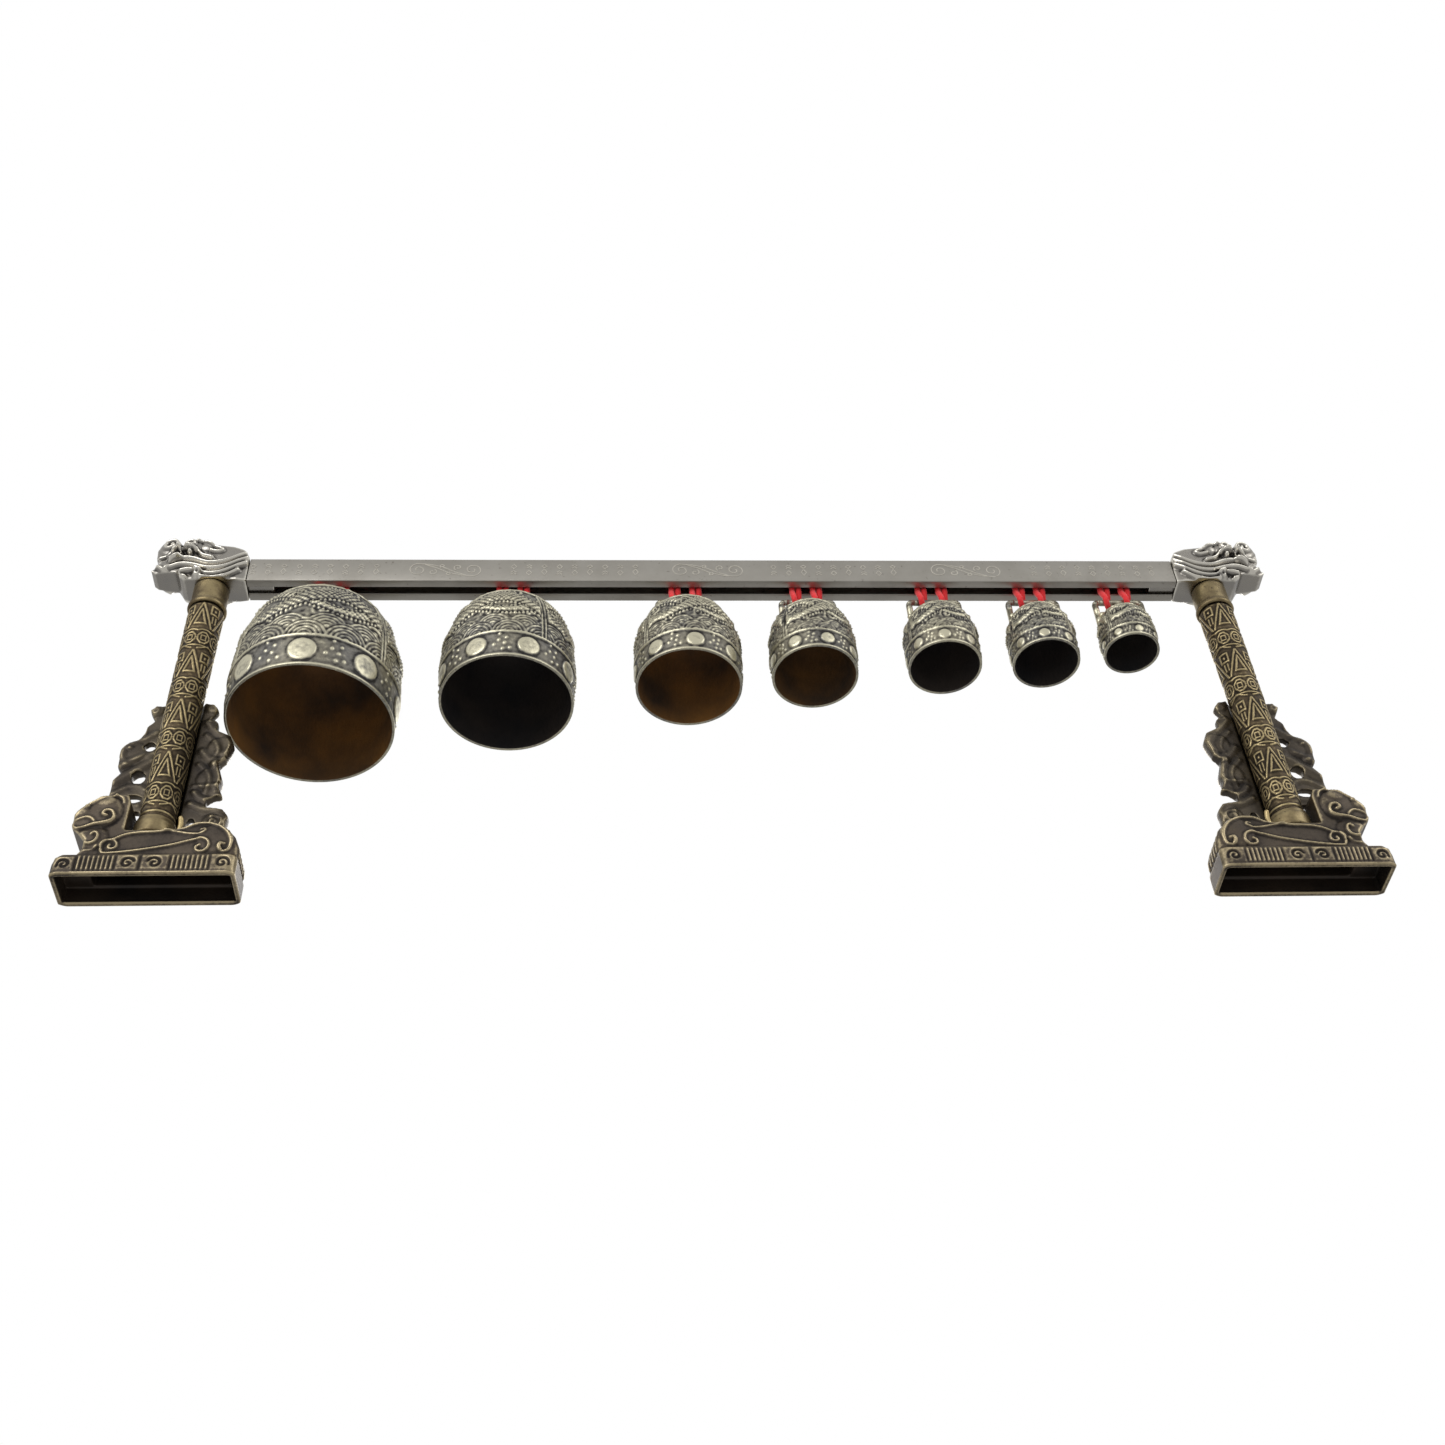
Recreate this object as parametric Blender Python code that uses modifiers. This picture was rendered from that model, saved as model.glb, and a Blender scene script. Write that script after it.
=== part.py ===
"""Table-top chime: seven graduated bells on red cords under a beam on two posts.

Metres, +Z up. X runs along the beam and -Y is the front. The origin is on the
surface the set stands on, midway between the posts. Run with
blender --background --python part.py, or from the text editor.
"""
import math

import bpy
import bmesh

# Driving dimensions
POST_X = 0.175            # post axis from the middle of the set
GAP = 0.0003              # clearance kept between touching pieces

BASE_INNER = -0.0280      # ends of a base, measured outwards from the post axis
BASE_OUTER = 0.0255
BASE_HALF_DEPTH = 0.0075
BODY_HALF_DEPTH = 0.0067
PLINTH_HEIGHT = 0.0075
SADDLE_HEIGHT = 0.0178    # flat on the beast's back that carries the post
CASTING_WALL = 0.0014

COLUMN_RADIUS = 0.0059
NECK_RADIUS = 0.0050      # reduced ends of the column inside the collars
TENON_RADIUS = 0.0030
FOOT_COLLAR_TOP = 0.0250
TOP_COLLAR_BOTTOM = 0.1220
SCREW_RADIUS = 0.0015
SCREW_HEAD_RADIUS = 0.0032
SCREW_HEAD_HEIGHT = 0.0024
SCREW_REACH = 0.0085      # screw length above the saddle

BEAM_BOTTOM = 0.1340
BEAM_HEIGHT = 0.0115
BEAM_DEPTH = 0.0094
BEAM_WALL = 0.0009
BEAM_HALF_LENGTH = 0.1626
SLOT_WIDTH = 0.0030
CAP_HALF_DEPTH = 0.0054
TONGUE_LENGTH = 0.0090
ROD_RADIUS = 0.0010
ROD_Z = BEAM_BOTTOM + 0.0062

BRACKET_FRONT = 0.0024    # the flat bracket stands behind the middle of the post
BRACKET_BACK = 0.0048
SPINE_BACK = 0.0074

CORD_RADIUS = 0.00105
STRAND_SHIFT = 0.00115    # half the distance between the two strands of a loop
LOOP_SHIFT = 0.00365      # half the distance between a bell's two loops
BAR_RADIUS = 0.0011       # round bar of a bell's crown
BAR_DROP = 0.0062         # crown bar below the beam
CROWN_HEIGHT = 0.0040     # crown bar above the top of the bell
PIVOT_Z = BEAM_BOTTOM + BEAM_WALL / 2

# Bell number: place along the beam, mouth diameter, body height
BELLS = {
    1: (-0.1340, 0.0540, 0.0555),
    2: (-0.0715, 0.0440, 0.0460),
    3: (-0.0115, 0.0355, 0.0385),
    4: (0.0310, 0.0290, 0.0335),
    5: (0.0755, 0.0250, 0.0290),
    6: (0.1105, 0.0230, 0.0270),
    7: (0.1410, 0.0190, 0.0220),
}
BELL_STEPS = 20
SHOULDER_POWER = 2.4      # how square the shoulder of a bell is
WIDEST = 0.22             # widest place of a bell, as a share of its height
SIDES = {"left": -1, "right": 1}


def clear_scene():
    for item in list(bpy.data.objects):
        bpy.data.objects.remove(item, do_unlink=True)


def new_collection(name):
    group = bpy.data.collections.new(name)
    bpy.context.scene.collection.children.link(group)
    return group


clear_scene()
PARTS = new_collection("chime_bell_set")
CUTTERS = new_collection("cutters")


def material(name, color, roughness, metallic):
    finish = bpy.data.materials.new(name)
    finish.use_nodes = True
    shader = finish.node_tree.nodes["Principled BSDF"]
    shader.inputs["Base Color"].default_value = (*color, 1.0)
    shader.inputs["Roughness"].default_value = roughness
    shader.inputs["Metallic"].default_value = metallic
    finish.diffuse_color = (*color, 1.0)
    return finish


def add_object(name, data, group, finish=None, location=(0, 0, 0)):
    piece = bpy.data.objects.new(name, data)
    piece.location = location
    group.objects.link(piece)
    if finish is not None:
        data.materials.append(finish)
    if group is CUTTERS:
        piece.hide_render = True
        piece.display_type = "WIRE"
    return piece


def turned(name, profile, group, finish=None, location=(0, 0, 0), steps=24, closed=False):
    """A profile of (radius, height) points turned about Z."""
    mesh = bpy.data.meshes.new(name)
    edges = [(i, i + 1) for i in range(len(profile) - 1)]
    if closed:
        edges.append((len(profile) - 1, 0))
    mesh.from_pydata([(r, 0.0, z) for r, z in profile], edges, [])
    piece = add_object(name, mesh, group, finish, location)
    screw = piece.modifiers.new("turn", "SCREW")
    screw.steps = steps
    screw.render_steps = steps
    screw.use_merge_vertices = True
    screw.merge_threshold = 0.00001
    screw.use_smooth_shade = False
    return piece


def to_mesh(curve_object, group, finish=None):
    """The same shape as a closed mesh, for pieces that are cut or joined."""
    bpy.context.view_layer.update()
    graph = bpy.context.evaluated_depsgraph_get()
    mesh = bpy.data.meshes.new_from_object(curve_object.evaluated_get(graph))
    shape = bmesh.new()
    shape.from_mesh(mesh)
    bmesh.ops.remove_doubles(shape, verts=shape.verts, dist=0.000001)
    bmesh.ops.recalc_face_normals(shape, faces=shape.faces)
    shape.to_mesh(mesh)
    shape.free()
    mesh.materials.clear()
    name = curve_object.name
    matrix = curve_object.matrix_world.copy()
    bpy.data.objects.remove(curve_object, do_unlink=True)
    piece = add_object(name, mesh, group, finish)
    piece.name = name
    piece.matrix_world = matrix
    return piece


def tube(name, points, radius, group, finish=None, location=(0, 0, 0), round_ends=False):
    """A round cord or bar along a list of points."""
    curve = bpy.data.curves.new(name, "CURVE")
    curve.dimensions = "3D"
    curve.bevel_depth = radius
    curve.bevel_resolution = 2
    curve.use_fill_caps = True
    spline = curve.splines.new("POLY")
    spline.points.add(len(points) - 1)
    for target, point in zip(spline.points, points):
        target.co = (*point, 1.0)
    if round_ends:
        for end, taper in ((0, 0.30), (1, 0.80), (-1, 0.30), (-2, 0.80)):
            spline.points[end].radius = taper
    return add_object(name, curve, group, finish, location)


def plate(name, outlines, front, back, group, finish=None):
    """Flat outlines of (x, z) points, given a thickness from y = front to y = back."""
    curve = bpy.data.curves.new(name, "CURVE")
    curve.dimensions = "2D"
    curve.fill_mode = "BOTH"
    curve.extrude = (back - front) / 2
    for outline in outlines:
        spline = curve.splines.new("POLY")
        spline.points.add(len(outline) - 1)
        for target, (x, z) in zip(spline.points, outline):
            target.co = (x, z, 0.0, 1.0)
        spline.use_cyclic_u = True
    piece = add_object(name, curve, group, None, (0, (front + back) / 2, 0))
    piece.rotation_euler = (math.pi / 2, 0, 0)
    return to_mesh(piece, group, finish)


def box(name, low, high, group, finish=None):
    mesh = bpy.data.meshes.new(name)
    shape = bmesh.new()
    bmesh.ops.create_cube(shape, size=1.0)
    for vertex in shape.verts:
        vertex.co = [low[i] + (vertex.co[i] + 0.5) * (high[i] - low[i]) for i in range(3)]
    shape.to_mesh(mesh)
    shape.free()
    return add_object(name, mesh, group, finish)


def cylinder(name, radius, low, high, axis, center, group, finish=None, sides=24):
    """A round bar from low to high along 'X', 'Y' or 'Z', through center."""
    mesh = bpy.data.meshes.new(name)
    shape = bmesh.new()
    bmesh.ops.create_cone(shape, cap_ends=True, segments=sides, radius1=radius,
                          radius2=radius, depth=high - low)
    shape.to_mesh(mesh)
    shape.free()
    place = list(center)
    place["XYZ".index(axis)] = (low + high) / 2
    piece = add_object(name, mesh, group, finish, place)
    if axis == "X":
        piece.rotation_euler = (0, math.pi / 2, 0)
    if axis == "Y":
        piece.rotation_euler = (math.pi / 2, 0, 0)
    return piece


def combine(piece, other, operation):
    step = piece.modifiers.new(operation.lower(), "BOOLEAN")
    step.operation = operation
    step.solver = "EXACT"
    step.object = other


def outward(side, points):
    """Points measured outwards from a post axis, as world (x, z)."""
    return [(side * (POST_X + u), z) for u, z in points]


def span(side, start, end):
    """World x range, low to high, of a stretch measured outwards from a post axis."""
    ends = (side * (POST_X + start), side * (POST_X + end))
    return min(ends), max(ends)


def ring_points(u, z, width, height, count=8):
    """An oval of points about (u, z)."""
    turns = [2 * math.pi * (k + 0.5) / count for k in range(count)]
    return [(u + width * math.cos(t), z + height * math.sin(t)) for t in turns]


# Bases: a beast lying on a fluted plinth, cast hollow and open underneath
BEAST_OUTLINE = [
    (-0.0280, 0.0040), (0.0205, 0.0040), (0.0195, 0.0075), (0.0180, 0.0100),
    (0.0177, 0.0130), (0.0203, 0.0165), (0.0218, 0.0205), (0.0216, 0.0240),
    (0.0193, 0.0275), (0.0155, 0.0303), (0.0110, 0.0320), (0.0080, 0.0318),
    (0.0070, 0.0290), (0.0070, SADDLE_HEIGHT), (-0.0080, SADDLE_HEIGHT),
    (-0.0110, 0.0186), (-0.0145, 0.0206), (-0.0185, 0.0209), (-0.0225, 0.0190),
    (-0.0255, 0.0155), (-0.0273, 0.0110),
]
PLINTH_OUTLINE = [
    (BASE_INNER, 0.0), (BASE_OUTER, 0.0), (BASE_OUTER, 0.0045), (0.0245, 0.0066),
    (0.0225, PLINTH_HEIGHT), (-0.0272, PLINTH_HEIGHT), (BASE_INNER, 0.0066),
]


def make_base(label, side):
    bronze = material("aged_bronze_" + label, (0.16, 0.13, 0.09), 0.45, 1.0)
    base = plate(label + "_base", [outward(side, PLINTH_OUTLINE)],
                 -BASE_HALF_DEPTH, BASE_HALF_DEPTH, PARTS, bronze)
    beast = plate(label + "_beast_body", [outward(side, BEAST_OUTLINE)],
                  -BODY_HALF_DEPTH, BODY_HALF_DEPTH, CUTTERS)
    combine(base, beast, "UNION")
    x0, x1 = span(side, BASE_INNER + CASTING_WALL, BASE_OUTER - CASTING_WALL)
    inside = BASE_HALF_DEPTH - CASTING_WALL
    lower = box(label + "_plinth_hollow", (x0, -inside, -0.001),
                (x1, inside, PLINTH_HEIGHT - CASTING_WALL), CUTTERS)
    combine(base, lower, "DIFFERENCE")
    x0, x1 = span(side, -0.0245, 0.0160)
    inside = BODY_HALF_DEPTH - CASTING_WALL
    upper = box(label + "_body_hollow", (x0, -inside, PLINTH_HEIGHT - 2 * CASTING_WALL),
                (x1, inside, SADDLE_HEIGHT - CASTING_WALL), CUTTERS)
    combine(base, upper, "DIFFERENCE")
    hole = cylinder(label + "_screw_hole", SCREW_RADIUS + GAP, SADDLE_HEIGHT - 0.004,
                    SADDLE_HEIGHT + 0.004, "Z", (side * POST_X, 0, 0), CUTTERS)
    combine(base, hole, "DIFFERENCE")


def make_base_screw(label, side):
    """The screw inside the hollow base that pulls the column down on the saddle."""
    steel = material("screw_steel_" + label, (0.45, 0.44, 0.42), 0.35, 1.0)
    seat = SADDLE_HEIGHT - CASTING_WALL - GAP
    top = SADDLE_HEIGHT + SCREW_REACH
    profile = [(0, top), (SCREW_RADIUS * 0.6, top), (SCREW_RADIUS, top - 0.0006),
               (SCREW_RADIUS, seat), (SCREW_HEAD_RADIUS, seat),
               (SCREW_HEAD_RADIUS, seat - 0.6 * SCREW_HEAD_HEIGHT),
               (SCREW_HEAD_RADIUS * 0.6, seat - SCREW_HEAD_HEIGHT),
               (0, seat - SCREW_HEAD_HEIGHT)]
    turned(label + "_base_screw", profile, PARTS, steel, (side * POST_X, 0, 0), steps=16)


# Posts: patterned column with a neck at each end, a collar on each neck
def make_column(label, side):
    brass = material("cast_brass_" + label, (0.30, 0.25, 0.14), 0.42, 1.0)
    neck_top = BEAM_BOTTOM - GAP
    foot = SADDLE_HEIGHT + GAP
    bore = SCREW_RADIUS + GAP
    bore_top = SADDLE_HEIGHT + SCREW_REACH + 0.001
    profile = [(0, neck_top + 0.0062), (TENON_RADIUS, neck_top + 0.0062),
               (TENON_RADIUS, neck_top), (NECK_RADIUS, neck_top),
               (NECK_RADIUS, TOP_COLLAR_BOTTOM - GAP), (COLUMN_RADIUS, TOP_COLLAR_BOTTOM - GAP),
               (COLUMN_RADIUS, FOOT_COLLAR_TOP + GAP), (NECK_RADIUS, FOOT_COLLAR_TOP + GAP),
               (NECK_RADIUS, foot), (bore, foot), (bore, bore_top), (0, bore_top)]
    turned(label + "_column", profile, PARTS, brass, (side * POST_X, 0, 0))


def make_collars(label, side):
    polished = material("collar_brass_" + label, (0.48, 0.40, 0.22), 0.3, 1.0)
    bore = NECK_RADIUS + GAP
    top = BEAM_BOTTOM - GAP
    bottom = TOP_COLLAR_BOTTOM
    profile = [(bore, top), (0.0058, top), (0.0060, bottom + 0.0022), (0.0064, bottom + 0.0018),
               (0.0066, bottom + 0.0010), (0.0064, bottom + 0.0002), (0.0060, bottom),
               (bore, bottom)]
    turned(label + "_top_collar", profile, PARTS, polished, (side * POST_X, 0, 0), closed=True)
    top = FOOT_COLLAR_TOP
    bottom = SADDLE_HEIGHT + GAP
    profile = [(bore, top), (0.0058, top), (0.0062, top - 0.0010), (0.0064, bottom + 0.0020),
               (0.0064, bottom), (bore, bottom)]
    turned(label + "_foot_collar", profile, PARTS, polished, (side * POST_X, 0, 0), closed=True)


# Brackets: flat openwork castings that stand on the base and hold the column from behind
BRACKET_OUTLINE = [
    (-0.0085, 0.0183), (-0.0112, 0.0192), (-0.0147, 0.0212), (-0.0180, 0.0225),
    (-0.0200, 0.0260), (-0.0203, 0.0310), (-0.0182, 0.0340), (-0.0128, 0.0348),
    (-0.0125, 0.0375), (-0.0145, 0.0392), (-0.0172, 0.0398), (-0.0157, 0.0430),
    (-0.0162, 0.0465), (-0.0141, 0.0530), (-0.0160, 0.0555), (-0.0176, 0.0620),
    (-0.0160, 0.0658), (-0.0115, 0.0680), (-0.0112, 0.0718), (-0.0090, 0.0738),
    (-0.0106, 0.0775), (-0.0088, 0.0800), (-0.0050, 0.0812), (0.0055, 0.0800),
    (0.0095, 0.0790), (0.0112, 0.0770), (0.0090, 0.0727), (0.0111, 0.0700),
    (0.0112, 0.0670), (0.0128, 0.0637), (0.0155, 0.0630), (0.0174, 0.0595),
    (0.0172, 0.0525), (0.0155, 0.0500), (0.0174, 0.0460), (0.0176, 0.0400),
    (0.0160, 0.0335), (0.0075, 0.0332), (0.0065, 0.0320), (0.0065, 0.0183),
]
BRACKET_HOLES = [(0.0086, 0.0610, 0.0018, 0.0020), (0.0098, 0.0475, 0.0022, 0.0026),
                 (0.0105, 0.0385, 0.0034, 0.0017), (-0.0092, 0.0270, 0.0014, 0.0034)]


def make_bracket(label, side):
    bronze = material("bracket_bronze_" + label, (0.13, 0.11, 0.09), 0.5, 1.0)
    outlines = [outward(side, BRACKET_OUTLINE)]
    outlines += [outward(side, ring_points(*hole)) for hole in BRACKET_HOLES]
    bracket = plate(label + "_bracket", outlines, BRACKET_FRONT, BRACKET_BACK, PARTS, bronze)
    x0, x1 = span(side, -0.0064, 0.0062)
    spine = box(label + "_spine", (x0, BRACKET_BACK - 0.0012, SADDLE_HEIGHT + 0.0006),
                (x1, SPINE_BACK, 0.0785), CUTTERS)
    combine(bracket, spine, "UNION")
    groove = turned(label + "_column_groove",
                    [(0, 0.09), (COLUMN_RADIUS + GAP, 0.09),
                     (COLUMN_RADIUS + GAP, FOOT_COLLAR_TOP + 0.0012),
                     (0.0064 + GAP, FOOT_COLLAR_TOP + 0.0006), (0.0064 + GAP, 0.01), (0, 0.01)],
                    CUTTERS, None, (side * POST_X, 0, 0))
    combine(bracket, groove, "DIFFERENCE")


# Beam: bent channel with a slot underneath, a rod inside it, and a cap on each end
def make_beam():
    nickel = material("nickel_silver", (0.42, 0.41, 0.39), 0.28, 1.0)
    low = BEAM_BOTTOM
    high = BEAM_BOTTOM + BEAM_HEIGHT
    half = BEAM_DEPTH / 2
    beam = box("beam_channel", (-BEAM_HALF_LENGTH, -half, low), (BEAM_HALF_LENGTH, half, high),
               PARTS, nickel)
    reach = BEAM_HALF_LENGTH + 0.005
    hollow = box("beam_hollow", (-reach, BEAM_WALL - half, low + BEAM_WALL),
                 (reach, half - BEAM_WALL, high - BEAM_WALL), CUTTERS)
    combine(beam, hollow, "DIFFERENCE")
    slot = box("beam_slot", (-reach, -SLOT_WIDTH / 2, low - 0.001),
               (reach, SLOT_WIDTH / 2, low + 2 * BEAM_WALL), CUTTERS)
    combine(beam, slot, "DIFFERENCE")


def make_rod():
    steel = material("rod_steel", (0.5, 0.5, 0.5), 0.3, 1.0)
    end = BEAM_HALF_LENGTH - 0.0036
    cylinder("hanging_rod", ROD_RADIUS, -end, end, "X", (0, 0, ROD_Z), PARTS, steel, sides=12)


CAP_OUTLINE = [
    (-0.0121, 0.0), (0.0090, 0.0), (0.0105, 0.0012), (0.0125, 0.0042), (0.0196, 0.0045),
    (0.0212, 0.0060), (0.0185, 0.0085), (0.0202, 0.0120), (0.0206, 0.0168), (0.0190, 0.0202),
    (0.0165, 0.0216), (0.0140, 0.0205), (0.0120, 0.0176), (0.0105, 0.0196), (0.0080, 0.0202),
    (0.0025, 0.0186), (-0.0060, 0.0174), (-0.0100, 0.0156), (-0.0121, 0.0115),
]


def make_cap(label, side):
    pewter = material("cap_pewter_" + label, (0.48, 0.47, 0.44), 0.3, 1.0)
    outline = [(u, BEAM_BOTTOM + h) for u, h in CAP_OUTLINE]
    cap = plate(label + "_dragon_cap", [outward(side, outline)],
                -CAP_HALF_DEPTH, CAP_HALF_DEPTH, PARTS, pewter)
    inside = BEAM_DEPTH / 2 - BEAM_WALL - GAP
    root = CAP_OUTLINE[0][0]
    x0, x1 = span(side, root - TONGUE_LENGTH, root + 0.002)
    low = BEAM_BOTTOM + BEAM_WALL + GAP
    high = BEAM_BOTTOM + BEAM_HEIGHT - BEAM_WALL - GAP
    tongue = box(label + "_cap_tongue", (x0, -inside, low), (x1, inside, high), CUTTERS)
    combine(cap, tongue, "UNION")
    socket = cylinder(label + "_tenon_socket", TENON_RADIUS + GAP, BEAM_BOTTOM - 0.002,
                      BEAM_BOTTOM + 0.0065, "Z", (side * POST_X, 0, 0), CUTTERS)
    combine(cap, socket, "DIFFERENCE")
    x0, x1 = span(side, root - TONGUE_LENGTH - 0.002, root - 0.0030)
    bore = cylinder(label + "_rod_socket", ROD_RADIUS + GAP, x0, x1, "X", (0, 0, ROD_Z),
                    CUTTERS, sides=12)
    combine(cap, bore, "DIFFERENCE")


# Bells: an egg-shaped cup with a crown bar on top, cast in one
def bell_radius(widest, share):
    """Outer radius at a share of the height, 0 at the mouth and 1 at the top."""
    if share < WIDEST:
        return widest * (1 - 0.03 * ((WIDEST - share) / WIDEST) ** 2)
    rise = (share - WIDEST) / (1 - WIDEST)
    return widest * max(0.0, 1 - rise ** SHOULDER_POWER) ** (1 / SHOULDER_POWER)


def bell_profile(mouth, height):
    """Outside from the top to the mouth, then inside back up, below the crown bar."""
    widest = mouth / 2 / 0.97
    wall = 0.0011 + 0.0135 * mouth
    outside = [(bell_radius(widest, s), s * height)
               for s in (1.0, 0.985, 0.94, 0.86, 0.74, 0.58, 0.40, 0.20, 0.0)]
    inner_height = height - 1.3 * wall
    inside = [(bell_radius(widest, s) - wall, s * inner_height)
              for s in (0.0, 0.22, 0.50, 0.72, 0.86, 0.95)]
    inside.append((0.0, inner_height))
    top = -CROWN_HEIGHT - height
    return [(r, top + h) for r, h in outside + inside]


def crown_points(mouth, height):
    """The crown bar: up out of the shoulder, across the top and down again."""
    widest = mouth / 2 / 0.97
    reach = 0.0066 + 0.16 * widest
    share = 1.0
    while bell_radius(widest, share) < reach + 0.0004:
        share -= 0.01
    foot = -CROWN_HEIGHT - height * (1 - share) - 0.0002
    bend = 0.0014
    half = [(reach, 0, foot), (reach, 0, -bend), (reach - 0.3 * bend, 0, -0.3 * bend),
            (reach - bend, 0, 0)]
    return [(-x, y, z) for x, y, z in half] + [(x, y, z) for x, y, z in reversed(half)]


def make_bell(number, x, mouth, height):
    silver = material(f"antique_silver_{number}", (0.33, 0.32, 0.29), 0.38, 1.0)
    place = (x, 0, BEAM_BOTTOM - BAR_DROP)
    bell = turned(f"bell_{number}", bell_profile(mouth, height), PARTS, silver, place,
                  steps=BELL_STEPS)
    bar = tube(f"bell_{number}_crown", crown_points(mouth, height), BAR_RADIUS, CUTTERS,
               None, place)
    combine(bell, to_mesh(bar, CUTTERS), "UNION")


# Cords: each bell hangs on two loops; each loop passes over the rod and under the crown bar
def lower_loop():
    """From the slot down in front of the crown bar, under it and up behind it."""
    reach = BAR_RADIUS + GAP + CORD_RADIUS
    bar = BEAM_BOTTOM - BAR_DROP - PIVOT_Z
    front = [(-STRAND_SHIFT, 0.0, CORD_RADIUS * 0.9), (-STRAND_SHIFT, 0.0, CORD_RADIUS * 0.45),
             (-STRAND_SHIFT, 0.0, -0.0004), (-STRAND_SHIFT, -0.0003, -0.0016),
             (-STRAND_SHIFT, -0.0016, bar + 0.0024), (-0.9 * STRAND_SHIFT, -reach, bar)]
    under = []
    for turn in (0.25, 0.5, 0.75):
        angle = math.pi * turn
        under.append((-STRAND_SHIFT * 0.9 * math.cos(angle), -reach * math.cos(angle),
                      bar - reach * math.sin(angle)))
    back = [(-x, -y, z) for x, y, z in reversed(front)]
    return front + under + back


def upper_loop():
    """From inside the slot up in front of the rod, over it and down behind it."""
    reach = ROD_RADIUS + GAP + CORD_RADIUS
    start = PIVOT_Z + CORD_RADIUS + GAP
    front = [(-STRAND_SHIFT, 0.0, start), (-STRAND_SHIFT, -0.0010, start + 0.0017),
             (-0.9 * STRAND_SHIFT, -reach, ROD_Z)]
    over = []
    for turn in (0.25, 0.5, 0.75):
        angle = math.pi * turn
        over.append((-STRAND_SHIFT * 0.9 * math.cos(angle), -reach * math.cos(angle),
                     ROD_Z + reach * math.sin(angle)))
    back = [(-x, -y, z) for x, y, z in reversed(front)]
    return front + over + back


def make_cords(number, x):
    red = material(f"red_cord_{number}", (0.65, 0.01, 0.02), 0.7, 0.0)
    for label, side in SIDES.items():
        place = x + side * LOOP_SHIFT
        tube(f"cord_{number}_{label}_hanging", lower_loop(), CORD_RADIUS, PARTS, red,
             (place, 0, PIVOT_Z), round_ends=True)
        tube(f"cord_{number}_{label}_over_rod", upper_loop(), CORD_RADIUS, PARTS, red,
             (place, 0, 0))


for side_name, sign in SIDES.items():
    make_base(side_name, sign)
    make_base_screw(side_name, sign)
    make_column(side_name, sign)
    make_collars(side_name, sign)
    make_bracket(side_name, sign)
    make_cap(side_name, sign)
make_beam()
make_rod()
for bell_number, (bell_x, mouth_width, body_height) in BELLS.items():
    make_bell(bell_number, bell_x, mouth_width, body_height)
    make_cords(bell_number, bell_x)
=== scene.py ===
import math
import bpy
import bmesh
import numpy as np
from mathutils import Matrix, Vector


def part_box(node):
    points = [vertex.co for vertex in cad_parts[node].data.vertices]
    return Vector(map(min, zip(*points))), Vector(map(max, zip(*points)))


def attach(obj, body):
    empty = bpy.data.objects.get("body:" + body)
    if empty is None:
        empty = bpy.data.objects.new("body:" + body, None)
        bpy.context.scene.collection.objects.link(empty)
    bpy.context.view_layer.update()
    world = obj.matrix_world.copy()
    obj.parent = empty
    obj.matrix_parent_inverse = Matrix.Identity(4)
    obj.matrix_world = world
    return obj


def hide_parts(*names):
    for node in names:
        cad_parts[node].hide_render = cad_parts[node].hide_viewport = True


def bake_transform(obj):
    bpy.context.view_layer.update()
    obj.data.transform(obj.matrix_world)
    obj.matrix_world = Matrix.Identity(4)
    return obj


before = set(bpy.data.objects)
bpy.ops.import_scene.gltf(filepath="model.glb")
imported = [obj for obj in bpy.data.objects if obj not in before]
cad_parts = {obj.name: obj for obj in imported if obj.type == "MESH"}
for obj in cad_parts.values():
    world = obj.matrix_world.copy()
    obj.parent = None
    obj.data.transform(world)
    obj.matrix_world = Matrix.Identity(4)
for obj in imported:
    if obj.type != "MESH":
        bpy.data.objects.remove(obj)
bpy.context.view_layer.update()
mm = 0.001
sides = {"left": -1, "right": 1}
post = 175.0   # mm from the middle to each column


def addObject(name, data):
    made = bpy.data.objects.new(name, data)
    bpy.context.scene.collection.objects.link(made)
    return made


# Camera, stage and lights

viewing = {"place": (-0.0350, -0.4185, -0.3497), "rise": 45.0, "yaw": 3.28, "roll": 0.165, "lens": 45.34}


def placeCamera():
    rise = math.radians(viewing["rise"])
    fromBelow = Matrix(((1, 0, 0),
                        (0, -math.cos(rise), math.sin(rise)),
                        (0, -math.sin(rise), -math.cos(rise))))
    yaw = Matrix.Rotation(math.radians(viewing["yaw"]), 3, "Y")
    roll = Matrix.Rotation(math.radians(viewing["roll"]), 3, "Z")
    data = bpy.data.cameras.new("camera")
    data.lens = viewing["lens"]
    data.clip_start = 0.01
    camera = addObject("camera", data)
    turned = (roll @ yaw @ fromBelow).transposed().to_4x4()
    camera.matrix_world = Matrix.Translation(viewing["place"]) @ turned
    bpy.context.scene.camera = camera


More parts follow.
